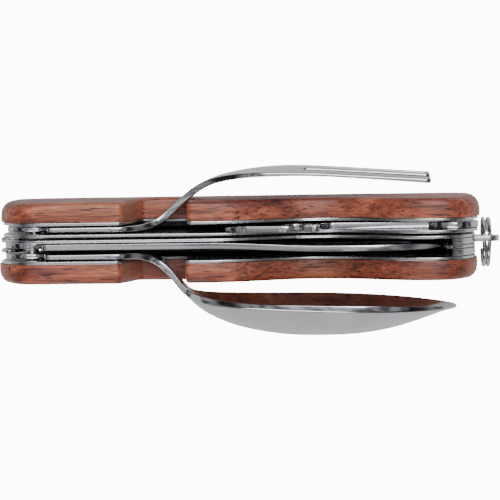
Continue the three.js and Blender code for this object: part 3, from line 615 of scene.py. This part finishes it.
def face_points(loops, spacing):
    """A triangular grid of points inside the loops, clear of their edges."""
    if spacing is None:
        return np.zeros((0, 2))
    low, high = loops[0].min(0), loops[0].max(0)
    row = spacing * math.sqrt(3) / 2
    grid = [
        (x + (j % 2) * spacing / 2, z)
        for j, z in enumerate(np.arange(low[1], high[1], row))
        for x in np.arange(low[0], high[0], spacing)
    ]
    grid = np.array(grid)
    edge = np.concatenate(loops)
    parts = np.array_split(grid, max(1, len(grid) // CHUNK))
    far = np.concatenate([distances(part, edge) for part in parts])
    grid = grid[far > spacing * EDGE_CLEARANCE]
    return grid[inside(grid, loops)]


def constant(value):
    return lambda x, z: np.full(np.shape(x), float(value))


def even_round(reach, drop=None):
    """A rounding that goes in by the reach and down by the drop everywhere."""
    ins, downs = constant(reach), constant(reach if drop is None else drop)
    return lambda x, z: (ins(x, z), downs(x, z))


def edge_rings(loop, height, side, rounding):
    """Rings from the wall of a slab over its rounded edge to a support ring on its face."""
    reach, drop = rounding(loop[:, 0], loop[:, 1])
    rings = []
    for step in range(ROUND_STEPS + 2):
        angle = math.pi / 2 * min(1, step / ROUND_STEPS)
        support = np.minimum(SUPPORT_REACH, reach * SUPPORT_SHARE) if step > ROUND_STEPS else 0
        flat = inset(loop, reach * (1 - math.cos(angle)) + support)
        y = height(flat[:, 0], flat[:, 1]) - side * drop * (1 - math.sin(angle))
        rings.append(np.column_stack([flat[:, 0], y, flat[:, 1]]))
    return rings


def fill_face(points, faces, rims, height, spacing, crease):
    """Adds the triangles of a slab's face between its rims, each rim a first number and a ring."""
    edge_loops = [ring for _, ring in rims]
    index = [first + j for first, ring in rims for j in range(len(ring))]
    borders = []
    for ring in edge_loops:
        base = len(borders)
        borders.extend((base + j, base + (j + 1) % len(ring)) for j in range(len(ring)))
    grid = face_points(edge_loops, spacing)
    if crease is not None:
        line = crease[inside(crease, edge_loops)]
        grid = grid[distances(grid, line) > spacing * CREASE_CLEARANCE]
        base = len(index) + len(grid)
        borders.extend((base + j, base + j + 1) for j in range(len(line) - 1))
        grid = np.concatenate([grid, line])
    flat = [Vector(point) for point in np.concatenate([*edge_loops, grid])]
    places, _, cells, sources, *_ = delaunay_2d_cdt(flat, borders, [], 0, 1e-6)
    numbers = []
    for (x, z), from_points in zip(places, sources):
        known = [source for source in from_points if source < len(index)]
        if known:
            numbers.append(index[known[0]])
        else:
            numbers.append(len(points))
            points.append((x, height(np.array([x]), np.array([z]))[0], z))
    triangles = np.array([cell for cell in cells if len(cell) == 3])
    middles = np.array([tuple(place) for place in places])[triangles].mean(axis=1)
    for triangle in triangles[inside(middles, edge_loops)]:
        face = tuple(numbers[i] for i in triangle)
        if len(set(face)) == 3:
            faces.append(face)


def slab(name, loops, low, high, round_low, round_high, spacing=None, shift=0.0, sharp=35,
         crease=None, bent=False):
    """A closed piece between the heights low(x, z) and high(x, z) in Y, for its CAD node."""
    points = []
    faces = []
    low_rims = []
    high_rims = []
    for loop in loops:
        rings = edge_rings(loop, low, -1, round_low)[::-1] + edge_rings(loop, high, 1, round_high)
        count = len(loop)
        start = len(points)
        for k, ring in enumerate(rings):
            points.extend(map(tuple, ring))
            if k:
                first = start + k * count
                below = first - count
                for j in range(count):
                    after = (j + 1) % count
                    faces.append((below + j, below + after, first + after, first + j))
        low_rims.append((start, rings[0][:, [0, 2]]))
        high_rims.append((first, rings[-1][:, [0, 2]]))
    fill_face(points, faces, low_rims, low, spacing, crease)
    fill_face(points, faces, high_rims, high, spacing, crease)
    sheet = (low, high, shift) if bent else None
    add_piece(name, np.array(points) + [shift, 0, 0], faces, sharp, sheet)


def sheet_normals(points, low, high, shift):
    """Normals of the bent sheet for the points on its two faces, and zero for the others."""
    x, y, z = points[:, 0] - shift, points[:, 1], points[:, 2]
    normals = np.zeros_like(points)
    for height, side in ((low, -1), (high, 1)):
        on_face = np.abs(height(x, z) - y) < ON_FACE
        slope_x = (height(x + SLOPE_STEP, z) - height(x - SLOPE_STEP, z)) / (2 * SLOPE_STEP)
        slope_z = (height(x, z + SLOPE_STEP) - height(x, z - SLOPE_STEP)) / (2 * SLOPE_STEP)
        outward = np.column_stack([-slope_x, np.ones_like(x), -slope_z]) * side
        outward /= np.linalg.norm(outward, axis=1)[:, None]
        normals[on_face] = outward[on_face]
    return normals


def add_piece(name, points, faces, sharp, sheet=None):
    """Puts a closed mesh in the scene in place of the CAD node that it is named for."""
    mesh = bpy.data.meshes.new(name + "_shaped")
    mesh.from_pydata(((points + origin) / MM).tolist(), [], faces)
    cleaner = bmesh.new()
    cleaner.from_mesh(mesh)
    bmesh.ops.remove_doubles(cleaner, verts=cleaner.verts, dist=WELD_REACH)
    bmesh.ops.recalc_face_normals(cleaner, faces=cleaner.faces)
    cleaner.to_mesh(mesh)
    cleaner.free()
    mesh.shade_smooth()
    mesh.set_sharp_from_angle(angle=math.radians(sharp))
    if sheet:
        places = np.empty(len(mesh.vertices) * 3)
        mesh.vertices.foreach_get("co", places)
        normals = sheet_normals(places.reshape(-1, 3) * MM - origin, *sheet)
        mesh.normals_split_custom_set_from_vertices(normals.tolist())
    mesh.materials.append(BY_SLOT[slot_of[name]])
    piece = bpy.data.objects.new(name + "_shaped", mesh)
    bpy.context.scene.collection.objects.link(piece)
    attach(piece, body_of[name])
    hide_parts(name)


# Handle outline
def groove(x):
    share = np.clip((np.asarray(x, float) - groove_start) / (groove_end - groove_start), 0, 1)
    skew = math.log(0.5) / math.log(GROOVE_PEAK_SHARE)
    return GROOVE_DEPTH * np.sin(math.pi * share ** skew) ** 2


def corner_drop(x, reach):
    into = np.clip(CORNER_RADIUS - (reach - np.abs(x)), 0, CORNER_RADIUS)
    return CORNER_RADIUS - np.sqrt(CORNER_RADIUS ** 2 - into ** 2)


def front_edge(x, reach):
    return handle_height - groove(x) - corner_drop(x, reach)


def handle_stations(reach, low, high):
    turns = reach - CORNER_RADIUS * (1 - np.cos(np.linspace(0, math.pi / 2, 20)))
    middle = np.linspace(-reach + CORNER_RADIUS, reach - CORNER_RADIUS, 220)
    stations = np.unique(np.round(np.concatenate([-turns, middle, turns]), 4))
    return stations[(stations >= low) & (stations <= high)]


def add_notch(outline, reach):
    """Draws the notch from left to right, with eased lips and a rounded foot."""
    lean = NOTCH_ROUND / (handle_height - NOTCH_FLOOR)
    foot = notch_start + NOTCH_START_SLOPE
    heel = notch_end - NOTCH_END_SLOPE
    top = float(front_edge(notch_start, reach))
    outline.line(notch_start - SCALE_LIP, top)
    outline.quadratic(notch_start, top, notch_start + NOTCH_START_SLOPE * lean, top - NOTCH_ROUND)
    outline.line(foot - NOTCH_START_SLOPE * lean, NOTCH_FLOOR + NOTCH_ROUND)
    outline.quadratic(foot, NOTCH_FLOOR, foot + NOTCH_ROUND, NOTCH_FLOOR)
    outline.line(heel - NOTCH_ROUND, NOTCH_FLOOR)
    outline.quadratic(heel, NOTCH_FLOOR, heel + NOTCH_END_SLOPE * lean, NOTCH_FLOOR + NOTCH_ROUND)
    top = float(front_edge(notch_end, reach))
    outline.line(notch_end - NOTCH_END_SLOPE * lean, top - SCALE_LIP)
    outline.quadratic(notch_end, top, notch_end + SCALE_LIP, top)


def handle_loop(reach, front=front_edge, notched=False):
    """The side outline of a scale or a liner, with or without the notch."""
    margin = SCALE_LIP + NOTCH_MARGIN
    left = handle_stations(reach, -reach, notch_start - margin if notched else reach)
    heights = front(left, reach)
    outline = Outline(left[0], heights[0])
    outline.lines(zip(left[1:], heights[1:]))
    if notched:
        right = handle_stations(reach, notch_end + margin, reach)
        add_notch(outline, reach)
        outline.lines(zip(right, front(right, reach)))
    below = handle_stations(reach, -reach, reach)[::-1]
    outline.lines(zip(below, corner_drop(below, reach)))
    return outline.loop()


# Wooden scales
def make_scale(name, side, shift):
    """A scale on the given side of the stack, crowned, with its ends rounded most."""
    low, high = layer_of(name)
    inner, outer = (low, high) if side > 0 else (high, low)

    def outer_face(x, z):
        top = front_edge(x, half_length)
        foot = corner_drop(x, half_length)
        across = np.clip((z - (top + foot) / 2) / ((top - foot) / 2 + 1e-6), -1, 1)
        return outer - side * SCALE_CROWN * across ** 2

    def outer_round(x, z):
        share = smooth_step(np.abs(x), half_length - END_BLEND_FROM, half_length - END_BLEND_TO)
        near = 1 - smooth_step(np.abs(x - (notch_start + notch_end) / 2), *NOTCH_BLEND)
        reach = SCALE_ROUND + END_ROUND * share - NOTCH_ROUND_LESS * near
        return reach, SCALE_ROUND + END_DROP * share

    faces = [(constant(inner), even_round(SCALE_INNER_EDGE)), (outer_face, outer_round)][::side]
    (low_face, round_low), (high_face, round_high) = faces
    slab(name, [handle_loop(half_length, notched=True)], low_face, high_face,
         round_low, round_high, SCALE_SPACING, shift)


make_scale("fork_side_scale", 1, fork_half_shift)
make_scale("spoon_side_scale", -1, 0)


# Liners, springs and spacers
def middle_front(x, reach):
    """The open side of the middle liner, cut back between its ends."""
    full = front_edge(x, reach)
    rise = smooth_step(x, middle_rise_x, middle_rise_x + MIDDLE_RISE_LENGTH)
    dip = 1 - smooth_step(x, middle_dip_x, middle_dip_x + MIDDLE_RISE_LENGTH)
    return np.minimum(full, MIDDLE_CUT_Z + (full - MIDDLE_CUT_Z) * np.maximum(rise, dip))


def make_flat(name, loops, shift=0.0, relief=0.0):
    low, high = layer_of(name)
    edge = even_round(LINER_EDGE_ROUND)
    slab(name, loops, constant(low + relief), constant(high - relief), edge, edge, shift=shift)


def pin_holes(*places):
    return [hole(x, pivot_z, PIN_HOLE) for x in places]


def rivet_holes(*places):
    return [hole(x, RIVET_Z, RIVET_HOLE) for x in places]


def stud_holes():
    return [hole(x, STUD_Z, STUD_HOLE) for x in (-STUD_X, STUD_X)]


def keyhole(x):
    """A slot for a stud's neck that ends in a round hole for its head, clockwise."""
    meet = math.asin(KEYHOLE_NARROW / KEYHOLE_WIDE)
    outline = Outline(x, STUD_Z + KEYHOLE_NARROW)
    outline.arc(x, STUD_Z, KEYHOLE_NARROW, math.pi / 2, 1.5 * math.pi)
    outline.arc(x + SLIDE_TRAVEL, STUD_Z, KEYHOLE_WIDE, -math.pi + meet, math.pi - meet)
    return outline.loop(KEYHOLE_SPACING)[::-1].copy()


fork_holes = [*pin_holes(pivot_x, opener_pivot_x), *rivet_holes(SPRING_RIVET_X)]
knife_holes = [
    *pin_holes(pivot_x, rear_rivet_x),
    *rivet_holes(SPRING_RIVET_X, rear_spring_rivet_x),
]
keyholes = [keyhole(x - fork_half_shift) for x in (-STUD_X, STUD_X)]
plain_liner = handle_loop(liner_reach)
notched_liner = handle_loop(liner_reach, notched=True)
make_flat("fork_outer_liner", [notched_liner, *fork_holes], fork_half_shift)
make_flat("fork_inner_liner", [plain_liner, *fork_holes, *keyholes], fork_half_shift)
make_flat("knife_inner_liner", [plain_liner, *knife_holes, *stud_holes()])
make_flat("middle_liner", [handle_loop(liner_reach, middle_front), *knife_holes])
make_flat("spoon_outer_liner", [notched_liner, *knife_holes])


def spring_loop(start, end, foot_at_end):
    """A bar along the spine, with a foot under the tang at its start and, if asked, at its end."""
    top = SPRING_FOOT_TOP
    chamfer, sag, lead = SPRING_CHAMFER, SPRING_SAG, SPRING_LEAD
    stop = start + SPRING_FOOT_LENGTH

    def lift(x):
        return float(corner_drop(x, liner_reach)) + SPRING_CLEARANCE

    outline = Outline(start, lift(start)).line(start, top - chamfer).line(start + chamfer, top)
    outline.line(stop - lead, top - sag)
    outline.bezier(stop, top - chamfer, stop, SPRING_HEIGHT, stop + 2 * lead, SPRING_HEIGHT)
    if foot_at_end:
        foot = end - SPRING_FOOT_LENGTH
        outline.line(foot - 2 * lead, SPRING_HEIGHT)
        outline.bezier(foot, SPRING_HEIGHT, foot, top - chamfer, foot + lead, top - sag)
        outline.line(end - chamfer, top).line(end, top - chamfer)
    else:
        outline.line(end, SPRING_HEIGHT)
    below = handle_stations(liner_reach, start, min(end, liner_reach))[::-1]
    outline.lines((x, lift(x)) for x in [end, *below])
    return outline.loop()


fork_spring = spring_loop(spring_start, opener_pivot_x, True)
make_flat("fork_backspring", [fork_spring, *rivet_holes(SPRING_RIVET_X)], fork_half_shift)
for spring in ("knife_backspring", "spoon_backspring"):
    make_flat(spring, [spring_loop(spring_start, spring_end, False),
                       *rivet_holes(SPRING_RIVET_X, rear_spring_rivet_x)])


def spacer_loops(with_ear):
    """The spacer at the ring's end, with or without the ear that the ring hangs in."""
    ends = handle_stations(liner_reach, spacer_x, liner_reach)
    outline = Outline(spacer_x, float(front_edge(spacer_x, liner_reach)))
    outline.lines(zip(ends, front_edge(ends, liner_reach)))
    if with_ear:
        outline.line(liner_reach, lug_z + LUG_RADIUS).line(lug_x, lug_z + LUG_RADIUS)
        outline.arc(lug_x, lug_z, LUG_RADIUS, math.pi / 2, -math.pi / 2)
        outline.line(liner_reach, lug_z - LUG_RADIUS)
    outline.lines(zip(ends[::-1], corner_drop(ends[::-1], liner_reach)))
    outline.line(spacer_x, float(corner_drop(spacer_x, liner_reach)))
    loops = [outline.loop(), *pin_holes(rear_rivet_x)]
    return [*loops, hole(lug_x, lug_z, LUG_HOLE)] if with_ear else loops


make_flat("key_ring_lug", spacer_loops(True), relief=SPACER_RELIEF)
make_flat("end_spacer", spacer_loops(False), relief=SPACER_RELIEF)


# Fork and spoon: bent sheets whose middles run along side curves
def sheet_faces(middle, thickness):
    """The two faces of a sheet, set apart by its thickness across the slope of its middle."""
    step = 0.01
    steepest = 1.45

    def half(x, z):
        along = (middle(x + step, z) - middle(x - step, z)) / (2 * step)
        across = (middle(x, z + step) - middle(x, z - step)) / (2 * step)
        return thickness(x) / 2 * np.minimum(steepest, np.sqrt(1 + along ** 2 + across ** 2))

    return (lambda x, z: middle(x, z) - half(x, z)), (lambda x, z: middle(x, z) + half(x, z))


def steps_from(x, y, steps):
    return [(x + along, y + across) for along, across in steps]


def tang_start(foot, top, shoulder_gap):
    """The outline of a tang from its foot, round the pivot and up over its shoulder."""
    lower = math.asin((foot - pivot_z) / TANG_RADIUS)
    upper = math.acos(SHOULDER_X / TANG_RADIUS)
    outline = Outline(pivot_x + TANG_RADIUS * math.cos(lower), foot)
    outline.arc(pivot_x, pivot_z, TANG_RADIUS, lower, upper - 2 * math.pi, steps=60)
    shoulder = pivot_x + SHOULDER_X + shoulder_gap
    outline.line(shoulder - SHOULDER_LEAN, top - SHOULDER_ROUND)
    return outline.quadratic(shoulder, top, shoulder + SHOULDER_ROUND, top)


stem_foot = STEM_TOP - STEM_WIDTH
stem_middle_x = (stem_taper_x + neck_x) / 2


def stem_start():
    outline = tang_start(stem_foot, STEM_TOP, STEM_SHOULDER_GAP).line(stem_taper_x, STEM_TOP)
    neck_top = NECK_Z + NECK_WIDTH / 2
    return outline.bezier(stem_middle_x, STEM_TOP, stem_middle_x - 1, neck_top, neck_x, neck_top)


def stem_end(outline):
    neck_foot = NECK_Z - NECK_WIDTH / 2
    outline.bezier(stem_middle_x - 1, neck_foot, stem_middle_x, stem_foot, stem_taper_x, stem_foot)
    return outline.loop(SHEET_LOOP_SPACING)


def make_sheet(name, outline, middle, thickness, edge, spacing, shift):
    low, high = sheet_faces(middle, thickness)
    slab(name, [stem_end(outline), *pin_holes(pivot_x)], low, high, edge, edge, spacing, shift,
         SHEET_SHARP_ANGLE, bent=True)


def fork_outline():
    outline = stem_start()
    half = FORK_HEAD_WIDTH / 2
    top, foot = FORK_HEAD_Z + half, FORK_HEAD_Z - half
    neck_top, neck_foot = NECK_Z + NECK_WIDTH / 2, NECK_Z - NECK_WIDTH / 2
    between = (fork_head_x + neck_x) / 2
    outline.bezier(between, neck_top, between, top, fork_head_x, top, 60)
    pitch = (FORK_HEAD_WIDTH - TINE_WIDTH) / (TINE_COUNT - 1)
    slot = (pitch - TINE_WIDTH) / 2
    tip = TINE_TIP_WIDTH / 2
    taper_x = fork_tip_x - tip * TINE_TIP_LENGTH
    for i in range(TINE_COUNT):
        centre = top - TINE_WIDTH / 2 - i * pitch
        outline.line(taper_x, centre + tip)
        outline.quadratic(fork_tip_x, centre + tip, fork_tip_x, centre, 6)
        outline.quadratic(fork_tip_x, centre - tip, taper_x, centre - tip, 6)
        if i + 1 < TINE_COUNT:
            outline.line(tine_root_x + slot, centre - TINE_WIDTH / 2)
            outline.arc(tine_root_x + slot, centre - pitch / 2, slot,
                        math.pi / 2, 1.5 * math.pi, 14)
    outline.line(fork_head_x, foot)
    return outline.bezier(between, foot, between, neck_foot, neck_x, neck_foot, 60)


def make_fork():
    tang_end = pivot_x - TANG_RADIUS - 1
    side = smooth_curve([
        (tang_end, fork_middle),
        *steps_from(bend_x, fork_middle, FORK_STEM_STEPS),
        (bend_x + 19.8, FORK_REACH - 1.14),
        (fork_head_x - 0.8, FORK_REACH),
        (fork_head_x + 16, FORK_REACH - 0.65),
        (fork_tip_x + 1, FORK_TIP_REACH),
    ])
    thickness = smooth_curve([
        (tang_end, TANG_THICKNESS),
        (bend_x - 6, TANG_THICKNESS),
        (neck_x, FORK_NECK_THICKNESS),
        (neck_x + 5, FORK_NECK_THICKNESS),
        (fork_head_x - 2, FORK_HEAD_THICKNESS),
        (fork_tip_x + 1, FORK_TIP_THICKNESS),
    ])

    def middle(x, z):
        across = np.maximum(0, 1 - ((z - FORK_HEAD_Z) / (FORK_HEAD_WIDTH / 2)) ** 2)
        head = smooth_step(x, neck_x, fork_head_x + 4)
        return side(x) + head * (FORK_DISH * across - FORK_ROLL * (z - FORK_HEAD_Z))

    make_sheet("fork", fork_outline(), middle, thickness, even_round(FORK_EDGE_ROUND),
               FORK_SPACING, fork_half_shift)


make_fork()


def bowl_reach(x):
    x = np.asarray(x, float)
    beyond = x > bowl_x
    along = (x - bowl_x) / np.where(beyond, BOWL_TO_TIP, BOWL_TO_NECK)
    fullness = np.where(beyond, 0.5, BOWL_NECK_FULLNESS)
    oval = BOWL_HALF_WIDTH * np.maximum(0, 1 - along ** 2) ** fullness
    neck = NECK_WIDTH / 2
    share = np.clip(0.5 + (oval - neck) / (2 * NECK_BLEND), 0, 1)
    blended = neck + (oval - neck) * share + NECK_BLEND * share * (1 - share)
    return np.where(beyond, oval, blended)


def bowl_middle(x):
    return BOWL_Z + (NECK_Z - BOWL_Z) * smooth_step(-np.asarray(x, float), -bowl_x, -neck_x)


def rim_y(x):
    return -RIM_REACH - RIM_SLOPE * (x - neck_x - 4)


def spoon_outline():
    to_middle = np.linspace(neck_x, bowl_x, 90)[1:]
    to_tip = bowl_x + BOWL_TO_TIP * np.sin(np.linspace(0, math.pi / 2, 90))[1:]
    along = np.concatenate([to_middle, to_tip])
    upper = bowl_middle(along) + bowl_reach(along)
    lower = bowl_middle(along) - bowl_reach(along)
    outline = stem_start().lines(zip(along, upper))
    outline.lines(zip(along[::-1][1:], lower[::-1][1:]))
    return outline.line(neck_x, NECK_Z - NECK_WIDTH / 2)


def make_spoon():
    tang_end = pivot_x - TANG_RADIUS - 1
    deepest = rim_y(bowl_x) - BOWL_DEPTH + BOWL_THICKNESS / 2
    stem = [(tang_end, spoon_middle), *steps_from(bend_x, spoon_middle, SPOON_STEM_STEPS)]
    beyond_tip = (spoon_tip_x + 1, rim_y(spoon_tip_x + 1))
    rim = smooth_curve([
        *stem,
        (bend_x + 14, -RIM_REACH + 0.35),
        (bend_x + 20, rim_y(bend_x + 20)),
        (bowl_x, rim_y(bowl_x)),
        beyond_tip,
    ])
    keel = smooth_curve([
        *stem,
        *steps_from(bend_x, deepest, KEEL_NECK_STEPS),
        *steps_from(bowl_x, deepest, KEEL_BOWL_STEPS),
        (spoon_tip_x, rim_y(spoon_tip_x) - KEEL_AT_TIP),
        beyond_tip,
    ])
    thickness = smooth_curve([
        (tang_end, TANG_THICKNESS),
        (bend_x - 6, TANG_THICKNESS),
        (neck_x, SPOON_NECK_THICKNESS),
        (neck_x + 14, BOWL_THICKNESS),
        (bowl_x, BOWL_THICKNESS),
        (bowl_x + BOWL_TO_TIP * 0.8, BOWL_THICKNESS),
        (spoon_tip_x, BOWL_THICKNESS * SPOON_TIP_SHARE),
    ])

    def middle(x, z):
        reach = np.maximum(0.05, bowl_reach(x))
        across = np.minimum(RIM_OVERRUN, np.abs(z - bowl_middle(x)) / reach)
        return rim(x) + np.minimum(0, keel(x) - rim(x)) * (1 - across ** BOWL_FULLNESS)

    make_sheet("spoon", spoon_outline(), middle, thickness, even_round(*RIM_EDGE_ROUND),
               SPOON_SPACING, 0)


make_spoon()


# Knife
def knife_edge(x):
    along = np.maximum(0, 1 - (knife_tip_x - np.asarray(x, float)) / KNIFE_BELLY_LENGTH)
    return KNIFE_EDGE_Z + (KNIFE_TIP_Z - KNIFE_EDGE_Z) * along ** KNIFE_BELLY_POWER


def knife_spine(x):
    along = np.maximum(0, 1 - (knife_tip_x - np.asarray(x, float)) / KNIFE_DROP_LENGTH)
    return KNIFE_SPINE_Z - (KNIFE_SPINE_Z - KNIFE_TIP_Z) * along ** KNIFE_DROP_POWER


def make_knife():
    outline = tang_start(KNIFE_EDGE_Z, KNIFE_SPINE_Z, KNIFE_SHOULDER_GAP)
    drop = np.linspace(knife_tip_x - KNIFE_DROP_LENGTH, knife_tip_x, 60)
    outline.lines(zip(drop, knife_spine(drop)))
    belly = np.linspace(knife_tip_x, knife_tip_x - KNIFE_BELLY_LENGTH, 60)[1:]
    outline.lines(zip(belly, knife_edge(belly)))
    head = KNIFE_SPINE_Z + 1

    def bevel_line(x):
        foot = knife_edge(np.minimum(x, knife_tip_x)) - 0.1
        return foot, foot + (head - foot) * BEVEL_SHARE

    def half(x, z):
        foot, bevel = bevel_line(x)
        share = np.clip((z - foot) / (bevel - foot), 0, 1)
        thin = EDGE_THICKNESS / 2 + (BLADE_THICKNESS - EDGE_THICKNESS) / 2 * share
        return np.where(x > grind_x, thin, BLADE_THICKNESS / 2)

    def centre(x):
        return knife_middle - KNIFE_CRANK * smooth_step(x, crank_x, crank_x + CRANK_LENGTH)

    crease_x = np.arange(grind_x, knife_tip_x, CREASE_SPACING)
    crease = np.column_stack([crease_x, bevel_line(crease_x)[1]])

    def edge(x, z):
        size = np.minimum(TOOL_EDGE_ROUND, half(x, z) * 0.5)
        return size, size

    slab("knife", [outline.loop(), *pin_holes(pivot_x)],
         lambda x, z: centre(x) - half(x, z), lambda x, z: centre(x) + half(x, z),
         edge, edge, KNIFE_SPACING, sharp=KNIFE_SHARP_ANGLE, crease=crease)


make_knife()


# Opener
def opener_outline():
    foot = pivot_z - OPENER_FOOT_DROP
    rise = OPENER_TOP_RISE
    top = pivot_z + rise
    radius = OPENER_TANG_RADIUS
    start = -math.pi + math.asin(OPENER_FOOT_DROP / radius)
    outline = Outline(opener_pivot_x + radius * math.cos(start), foot)
    outline.arc(opener_pivot_x, pivot_z, radius, start, math.pi - math.asin(rise / radius), 60)
    hook, beak, crest = opener_hook_x, opener_hook_x - HOOK_WIDTH, OPENER_TOP_Z
    outline.line(hook + 3, top).quadratic(hook + 0.4, top, hook, top + 4)
    outline.line(hook, crest - HOOK_ROUND_Z).quadratic(hook, crest, hook - HOOK_ROUND_X, crest)
    outline.line(beak, crest - 0.3).line(beak, crest - HOOK_LIP)
    mouth = beak - MOUTH_WIDTH
    outline.arc(mouth - MOUTH_SHIFT, crest - HOOK_LIP - MOUTH_RADIUS, MOUTH_RADIUS,
                math.atan2(MOUTH_RADIUS, MOUTH_WIDTH + MOUTH_SHIFT), -1.4 * math.pi, 40)
    outline.line(mouth - 1.6, crest - 0.4).quadratic(mouth - 2.4, crest, mouth - 4, crest)
    tip = opener_tip_x
    outline.line(tip + 5, crest - 0.8).quadratic(tip + 1, crest - 1.4, tip, crest - 3.6)
    outline.line(tip, crest - 9.5)
    return outline.bezier(tip + 5, crest - 14, tip + 9, foot + 0.6, hook + 2, foot)


def make_opener():
    middle = fork_middle - OPENER_SET_IN

    def half(x, z):
        share = np.clip((x - opener_tip_x) / DRIVER_LENGTH, 0, 1)
        return (DRIVER_THICKNESS + (OPENER_THICKNESS - DRIVER_THICKNESS) * share) / 2

    edge = even_round(TOOL_EDGE_ROUND)
    slab("bottle_opener", [opener_outline().loop(OPENER_LOOP_SPACING), *pin_holes(opener_pivot_x)],
         lambda x, z: middle - half(x, z), lambda x, z: middle + half(x, z),
         edge, edge, OPENER_SPACING, fork_half_shift, OPENER_SHARP_ANGLE)


make_opener()


# Split ring: two turns of round wire side by side
def ring_path():
    radius = RING_RADIUS - RING_WIRE
    jog = RING_JOG
    angles = np.linspace(jog / 2, 4 * math.pi - jog / 2, RING_STATIONS)
    cross = smooth_step(angles, 2 * math.pi - jog / 2, 2 * math.pi + jog / 2) - 0.5
    sprung = RING_SPRUNG * np.maximum(0, np.cos(angles - 1.25 * math.pi)) ** 2
    return np.column_stack([
        lug_x + cross * (2 * RING_WIRE + RING_GAP + sprung),
        knife_middle - radius * math.sin(RING_LEAN) + radius * np.sin(angles + math.pi),
        lug_z - radius * math.cos(RING_LEAN) + radius * np.cos(angles + math.pi),
    ])


def make_ring():
    path = ring_path()
    along = np.gradient(path, axis=0)
    along /= np.linalg.norm(along, axis=1)[:, None]
    sideways = np.cross(along, [1, 0, 0])
    sideways /= np.linalg.norm(sideways, axis=1)[:, None]
    upward = np.cross(sideways, along)
    last = len(path) - 1
    stations = [(0, -RING_END_PUSH, RING_END_SIZE)]
    stations += [(i, 0, 1) for i in range(len(path))]
    stations += [(last, RING_END_PUSH, RING_END_SIZE)]
    sides = RING_SIDES
    points = []
    for i, push, size in stations:
        for k in range(sides):
            angle = 2 * math.pi * k / sides
            out = math.cos(angle) * sideways[i] + math.sin(angle) * upward[i]
            points.append(path[i] + along[i] * push * RING_WIRE * 2 + out * RING_WIRE * size)
    faces = []
    for s in range(len(stations) - 1):
        for k in range(sides):
            a, b = s * sides + k, s * sides + (k + 1) % sides
            faces.append((a, b, b + sides, a + sides))
    faces.append(tuple(range(sides)))
    faces.append(tuple(range(len(points) - sides, len(points))))
    add_piece("split_ring", np.array(points), faces, RING_SHARP_ANGLE)


make_ring()


# CAD nodes: each gets its material, and the true edges of those that stay are eased by a bevel
EASED_EDGE = 0.07
WELD_DISTANCE = 0.002
FLAT_ANGLE = 1
BEVEL_ANGLE = 40


def dress_cad_node(name):
    node = nodes[name]
    node.data.materials.clear()
    node.data.materials.append(BY_SLOT[slot_of[name]])
    weld = node.modifiers.new("weld", "WELD")
    weld.merge_threshold = WELD_DISTANCE / MM
    flat = node.modifiers.new("flat_faces", "DECIMATE")
    flat.decimate_type = "DISSOLVE"
    flat.angle_limit = math.radians(FLAT_ANGLE)
    bevel = node.modifiers.new("eased_edges", "BEVEL")
    bevel.width = EASED_EDGE / MM
    bevel.segments = 2
    bevel.limit_method = "ANGLE"
    bevel.angle_limit = math.radians(BEVEL_ANGLE)


for name in slot_of:
    dress_cad_node(name)


# Floor and light, in metres
FLOOR_REACH = 3.0
FLOOR_SEEN = 12.0
FLOOR_LIGHT = 0.22
FLOOR_COLOUR = (0.6, 0.6, 0.61)


def make_floor():
    """A pale floor that looks white to the camera and throws little light on the steel."""
    mesh = bpy.data.meshes.new("floor")
    near, far = -FLOOR_REACH, FLOOR_REACH
    corners = [(near, near, 0), (far, near, 0), (far, far, 0), (near, far, 0)]
    mesh.from_pydata(corners, [], [(0, 1, 2, 3)])
    floor = bpy.data.objects.new("floor", mesh)
    shader = Shader("pale_floor")
    inputs = shader.bsdf.inputs
    inputs["Base Color"].default_value = (*FLOOR_COLOUR, 1)
    inputs["Roughness"].default_value = 0.9
    inputs["Emission Color"].default_value = (1, 1, 1, 1)
    seen = shader.add("ShaderNodeLightPath").outputs["Is Camera Ray"]
    shader.link(shader.remap(seen, FLOOR_LIGHT, FLOOR_SEEN), inputs["Emission Strength"])
    mesh.materials.append(shader.material)
    bpy.context.scene.collection.objects.link(floor)


def make_light(name, place, size, watts):
    data = bpy.data.lights.new(name, "AREA")
    data.shape = "RECTANGLE"
    data.size, data.size_y = size
    data.energy = watts
    lamp = bpy.data.objects.new(name, data)
    lamp.location = place
    lamp.rotation_euler = (-Vector(place)).to_track_quat("-Z", "Y").to_euler()
    bpy.context.scene.collection.objects.link(lamp)


WORLD_STRENGTH = 0.5
WORLD_COOL = 1.02
WORLD_SHADES = [
    (0.0, 0.9), (0.2, 0.9), (0.5, 0.06), (0.66, 0.06),
    (0.78, 0.7), (0.9, 0.9), (0.95, 1.5), (1.0, 1.7),
]
WORLD_PANELS = [(0.42, (0.22, 0.22, 0.23)), (0.56, 1.15)]


def make_world():
    """A studio that is dark at the sides and bright above, in soft upright panels."""
    world = bpy.data.worlds.new("studio")
    world.use_nodes = True
    sky = Tree(world.node_tree, "Generated")
    background = sky.tree.nodes["Background"]
    background.inputs["Strength"].default_value = WORLD_STRENGTH
    shades = [(at, (shade, shade, shade * WORLD_COOL)) for at, shade in WORLD_SHADES]
    height = sky.ramp(sky.axis(sky.place, "Z"), shades)
    panels = sky.ramp(sky.noise(1.6, detail=1, stretch=(9, 1.2, 0.5)), WORLD_PANELS)
    sky.link(sky.mix(1.0, height, panels, "MULTIPLY"), background.inputs["Color"])
    bpy.context.scene.world = world


make_floor()
make_world()
make_light("softbox_over", place=(0.1, 0.35, 0.9), size=(0.7, 0.5), watts=7)
make_light("softbox_front", place=(-0.2, -0.8, 0.6), size=(0.8, 0.4), watts=4)
